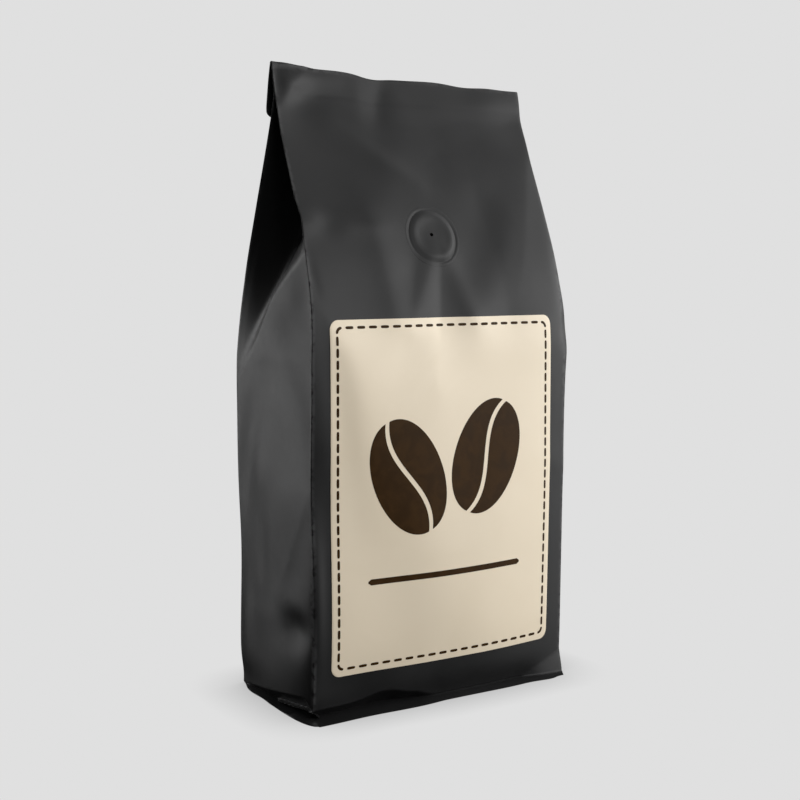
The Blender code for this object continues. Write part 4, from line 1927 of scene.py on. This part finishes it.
def front_features() -> list[Relief]:
    """Folds, dents and facets of the front panel, at (across, height) in millimetres."""
    return [
        Fold((-61.8, 224.4), (-42.0, 249.9), rise=1.28, left=7.7, right=9.6, roundness=0.5),
        Swell((-57.8, 238.0), (3.0, 5.9), rise=-1.80, turn=-5),
        Fold((-35.4, 225.0), (-3.0, 202.4), rise=0.70, left=2.8, right=3.3, roundness=5.0),
        Swell((-47.5, 186.3), (4.7, 6.5), rise=-1.37, turn=-90),
        Swell((-56.8, 187.0), (31.8, 5.9), rise=1.80, turn=1),
        Fold((-11.6, 239.8), (-12.9, 232.4), rise=-0.80, left=2.1, right=2.3, roundness=5.0),
        Swell((-22.5, 237.1), (4.0, 10.4), rise=0.26),
        Fold((11.5, 215.0), (59.1, 232.8), rise=-1.80, left=10.0, right=16.5, roundness=4.4),
        Swell((35.0, 217.0), (10.3, 39.9), rise=1.80, turn=-82),
        Fold((-11.6, 166.8), (-18.6, 143.1), rise=-1.80, left=11.2, right=6.5, roundness=4.8),
        Fold((-2.4, 174.1), (-17.4, 148.0), rise=1.40, left=3.9, right=4.1, roundness=5.0),
        Fold((0.4, 166.1), (-2.1, 148.0), rise=-1.80, left=16.5, right=4.6, roundness=5.0),
        Fold((3.9, 173.8), (12.0, 153.0), rise=1.20, left=3.4, right=3.8, roundness=5.0),
        Fold((-28.0, 184.0), (-23.5, 156.4), rise=1.18, left=6.4, right=4.7, roundness=5.0),
        Fold((-58.2, 167.0), (-57.7, 164.0), rise=-0.70, left=1.2, right=4.1, roundness=4.3),
        Fold((-62.6, 167.3), (-54.7, 150.0), rise=1.80, left=6.4, right=16.5, roundness=5.0),
        Swell((59.3, 151.9), (26.1, 3.0), rise=-0.99, turn=88),
        Fold((60.3, 222.1), (42.0, 173.0), rise=0.90, left=16.5, right=6.3, roundness=4.9),
        Fold((25.1, 197.0), (29.8, 152.0), rise=-0.97, left=9.5, right=16.5, roundness=5.0),
        Swell((42.1, 239.1), (37.4, 6.3), rise=0.46, turn=9),
        Swell((-18.9, 200.1), (10.9, 18.6), rise=0.68, turn=-28),
        Swell((25.6, 209.9), (35.9, 16.2), rise=1.79, turn=40),
        Swell((-35.4, 155.4), (40.0, 20.4), rise=-1.80, turn=4),
        Swell((-58.8, 48.8), (3.0, 24.8), rise=1.01, turn=1),
        Swell((-54.4, 83.0), (17.3, 40.0), rise=-1.11, turn=32),
        Swell((17.8, 24.0), (23.4, 27.7), rise=1.76, turn=34),
        Swell((-38.5, 5.4), (17.7, 13.2), rise=-1.80, turn=-12),
        Swell((56.2, 89.6), (5.5, 7.9), rise=0.29, turn=43),
        Swell((-45.2, 239.3), (17.6, 9.9), rise=-1.78, turn=57),
        Swell((21.7, 245.6), (31.3, 18.4), rise=0.20, turn=-25),
        Swell((-40.0, 224.7), (16.6, 27.2), rise=-1.80, turn=-90),
        Swell((33.0, 178.0), (8.8, 40.0), rise=1.03, turn=-29),
        Swell((-50.3, 122.0), (6.6, 40.0), rise=-0.88, turn=9),
        Swell((18.0, 63.3), (16.2, 26.4), rise=1.33, turn=-31),
        Swell((-8.0, 52.0), (37.6, 17.1), rise=1.40, turn=90),
        Fold((-4.2, 142.0), (-6.7, 126.0), rise=1.34, left=14.1, right=16.5, roundness=1.3),
        Swell((-51.8, 239.3), (19.5, 5.5), rise=1.79, turn=17),
        Swell((30.2, 214.8), (20.3, 7.3), rise=-1.27, turn=11),
        Fold((-2.0, -1.0), (40.0, -1.0), rise=-1.8, left=6.0, right=6.0, roundness=2.5),
        Facet((40.5, 1.6), (54.5, 7.7), slope=0.33, roundness=1.5, most=14),
        Swell((62.0, 145.0), (6.0, 7.0), rise=-1.6),
    ]


def left_features() -> list[Relief]:
    """Folds and dents of the left side, at (front to back, height) in millimetres."""
    return [
        Fold((-29.5, 90.5), (-8.0, 54.6), rise=0.35, left=9.7, right=2.7, roundness=5.0),
        Fold((3.3, 121.8), (10.3, 84.0), rise=-1.57, left=11.8, right=16.0, roundness=4.6),
        Swell((-18.0, 37.1), (29.5, 11.6), rise=1.68, turn=5),
        Swell((-18.8, 34.4), (12.2, 5.8), rise=-1.60, turn=5),
        Swell((-17.9, 28.2), (16.0, 6.4), rise=-0.98, turn=8),
        Swell((11.0, 88.0), (8.9, 12.8), rise=0.84, turn=5),
        Swell((-9.2, 96.7), (16.2, 35.0), rise=-1.33, turn=15),
        Swell((9.3, 59.4), (14.3, 5.6), rise=-0.40, turn=-90),
        Swell((24.9, 20.6), (6.6, 33.2), rise=0.64, turn=-1),
        Swell((-30.7, 30.5), (35.2, 12.6), rise=1.17, turn=89),
        Swell((3.6, 66.9), (11.0, 39.9), rise=0.70, turn=31),
        Swell((20.4, 100.2), (10.0, 30.5), rise=-1.65, turn=13),
        Swell((-19.9, 108.5), (15.3, 28.4), rise=-1.56, turn=-24),
        Swell((12.7, 10.6), (39.7, 12.5), rise=0.54, turn=-20),
        Swell((-6.8, 138.9), (9.0, 17.2), rise=-0.57, turn=41),
        Swell((-27.4, 157.3), (11.4, 12.2), rise=-1.43, turn=-29),
        Swell((4.6, 120.3), (13.5, 30.0), rise=-0.59, turn=-14),
    ]


def right_features() -> list[Relief]:
    """Folds and dents of the right side, at (front to back, height) in millimetres."""
    return [
        Ripples(seed=21, rise=0.14, longest=50, shortest=18),
        Fold((-26, 104), (4, 66), rise=0.8, left=7, right=6, roundness=2.5),
        Fold((12, 116), (9, 74), rise=-0.5, left=4, right=3, roundness=1.5),
        Swell((-12, 44), (9, 7), rise=0.7),
        Swell((10, 30), (8, 6), rise=-0.7),
    ]


def back_features() -> list[Relief]:
    """Folds and dents of the back panel, at (across, height) in millimetres."""
    return [
        Ripples(seed=33, rise=0.16, longest=70, shortest=24),
        Fold((-44, 186), (-14, 158), rise=0.9, left=8, right=6, roundness=2.5),
        Fold((40, 196), (16, 166), rise=0.8, left=6, right=9, roundness=2.5),
        Fold((-30, 40), (-46, 12), rise=0.7, left=6, right=6, roundness=2.5),
        Swell((26, 120), (18, 24), rise=0.6),
        Swell((-22, 96), (14, 20), rise=-0.5),
    ]


@dataclass(frozen=True)
class FoldMarks:
    """Marks how close the film's points are to its folds, for the finish to paint a highlight along them."""

    form: BagForm
    edge_strength: float = 0.9
    edge_lost_above: float = 0.3
    edge_spread: float = 0.9 * MM
    fade_below_pinch: float = 10 * MM
    fade_above_ridge: float = 6 * MM
    top_strength: float = 0.6
    top_spread: float = 1.0 * MM
    ridge_strength: float = 0.28
    ridge_lift: float = 0.6 * MM
    ridge_spread: float = 1.8 * MM
    ridge_ends: Ramp = Ramp(0.5, 4)

    def mark(self, film: bpy.types.Object) -> None:
        """Stores the mark of each point on the film.

        Args:
            film: The finished film.
        """
        form = self.form
        x, y, z = read_points(film).T.astype(float)
        front, back = form.front_edge(z), form.back_edge(z)
        aside = np.abs(x) - np.array([form.half_width(height) for height in z])
        to_edge = np.minimum(np.hypot(aside, y + front), np.hypot(aside, y - back))
        fade_end = form.ridge_at_front + self.fade_above_ridge
        fade = smooth_step(z, form.pinch - self.fade_below_pinch, fade_end)
        edge = bell(to_edge, 0.0, self.edge_spread) * (self.edge_strength - self.edge_lost_above * fade)
        top = self.top_strength * bell(z, form.height, self.top_spread)
        within = self.ridge_ends.at(np.minimum(y + front, back - y))
        ridge = self.ridge_strength * within
        ridge *= bell(z - form.ridge_height(y), self.ridge_lift, self.ridge_spread)
        # share of the painted highlight at each point: upright edges, the top fold and the side's ridge
        crease = np.clip(np.maximum(np.maximum(edge, top), ridge), 0, 1)
        layer = film.data.attributes.new(CREASE_LAYER, "FLOAT", "POINT")
        layer.data.foreach_set("value", crease.astype(np.float32))


def dress(piece: bpy.types.Object, material: bpy.types.Material, slot: str, *nodes: str) -> None:
    """Gives a piece its finish, hangs it on the root body and hides the CAD nodes that it stands for.

    Args:
        piece: The finished piece.
        material: Its finish.
        slot: The record's material slot; not used.
        nodes: The CAD nodes that it stands for.
    """
    piece.data.materials.clear()
    piece.data.materials.append(material)
    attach(piece, "root")
    if nodes:
        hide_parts(*nodes)
    log.info("%s: %d faces", piece.name, len(piece.data.polygons))


def main() -> None:
    """Builds the film, the valve, the label, their finishes and the studio."""
    logging.basicConfig(level=logging.INFO, format="%(name)s %(message)s")
    form = BagForm(height=cad_high.z)
    tube = FilmTube(form, front_features(), back_features(), left_features(), right_features())
    film = tube.build()
    FoldMarks(form).mark(film)
    shade(film, sharpest=55)
    black = FilmFinish().make()
    dress(film, black, "film", "bag")
    dress(BackSeam(tube).build(), black, "film")
    dress(Valve(tube).build(), black, "valve_film", "valve")

    low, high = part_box("label")
    label = Label(tube, low.x, high.x, low.z, high.z)
    ink = InkFinish().make()
    dress(label.build_sheet(), LabelFinish().make(), "label_paper", "label")
    dress(label.build_border(), ink, "label_paper")
    dress(label.build_emblem(), ink, "label_paper")

    studio = Studio()
    studio.build_floor()
    studio.build_world()
    studio.build_lights()
    studio.build_camera()
    bpy.context.scene.view_settings.view_transform = "Standard"

    low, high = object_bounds()


if __name__ == "__main__":
    main()
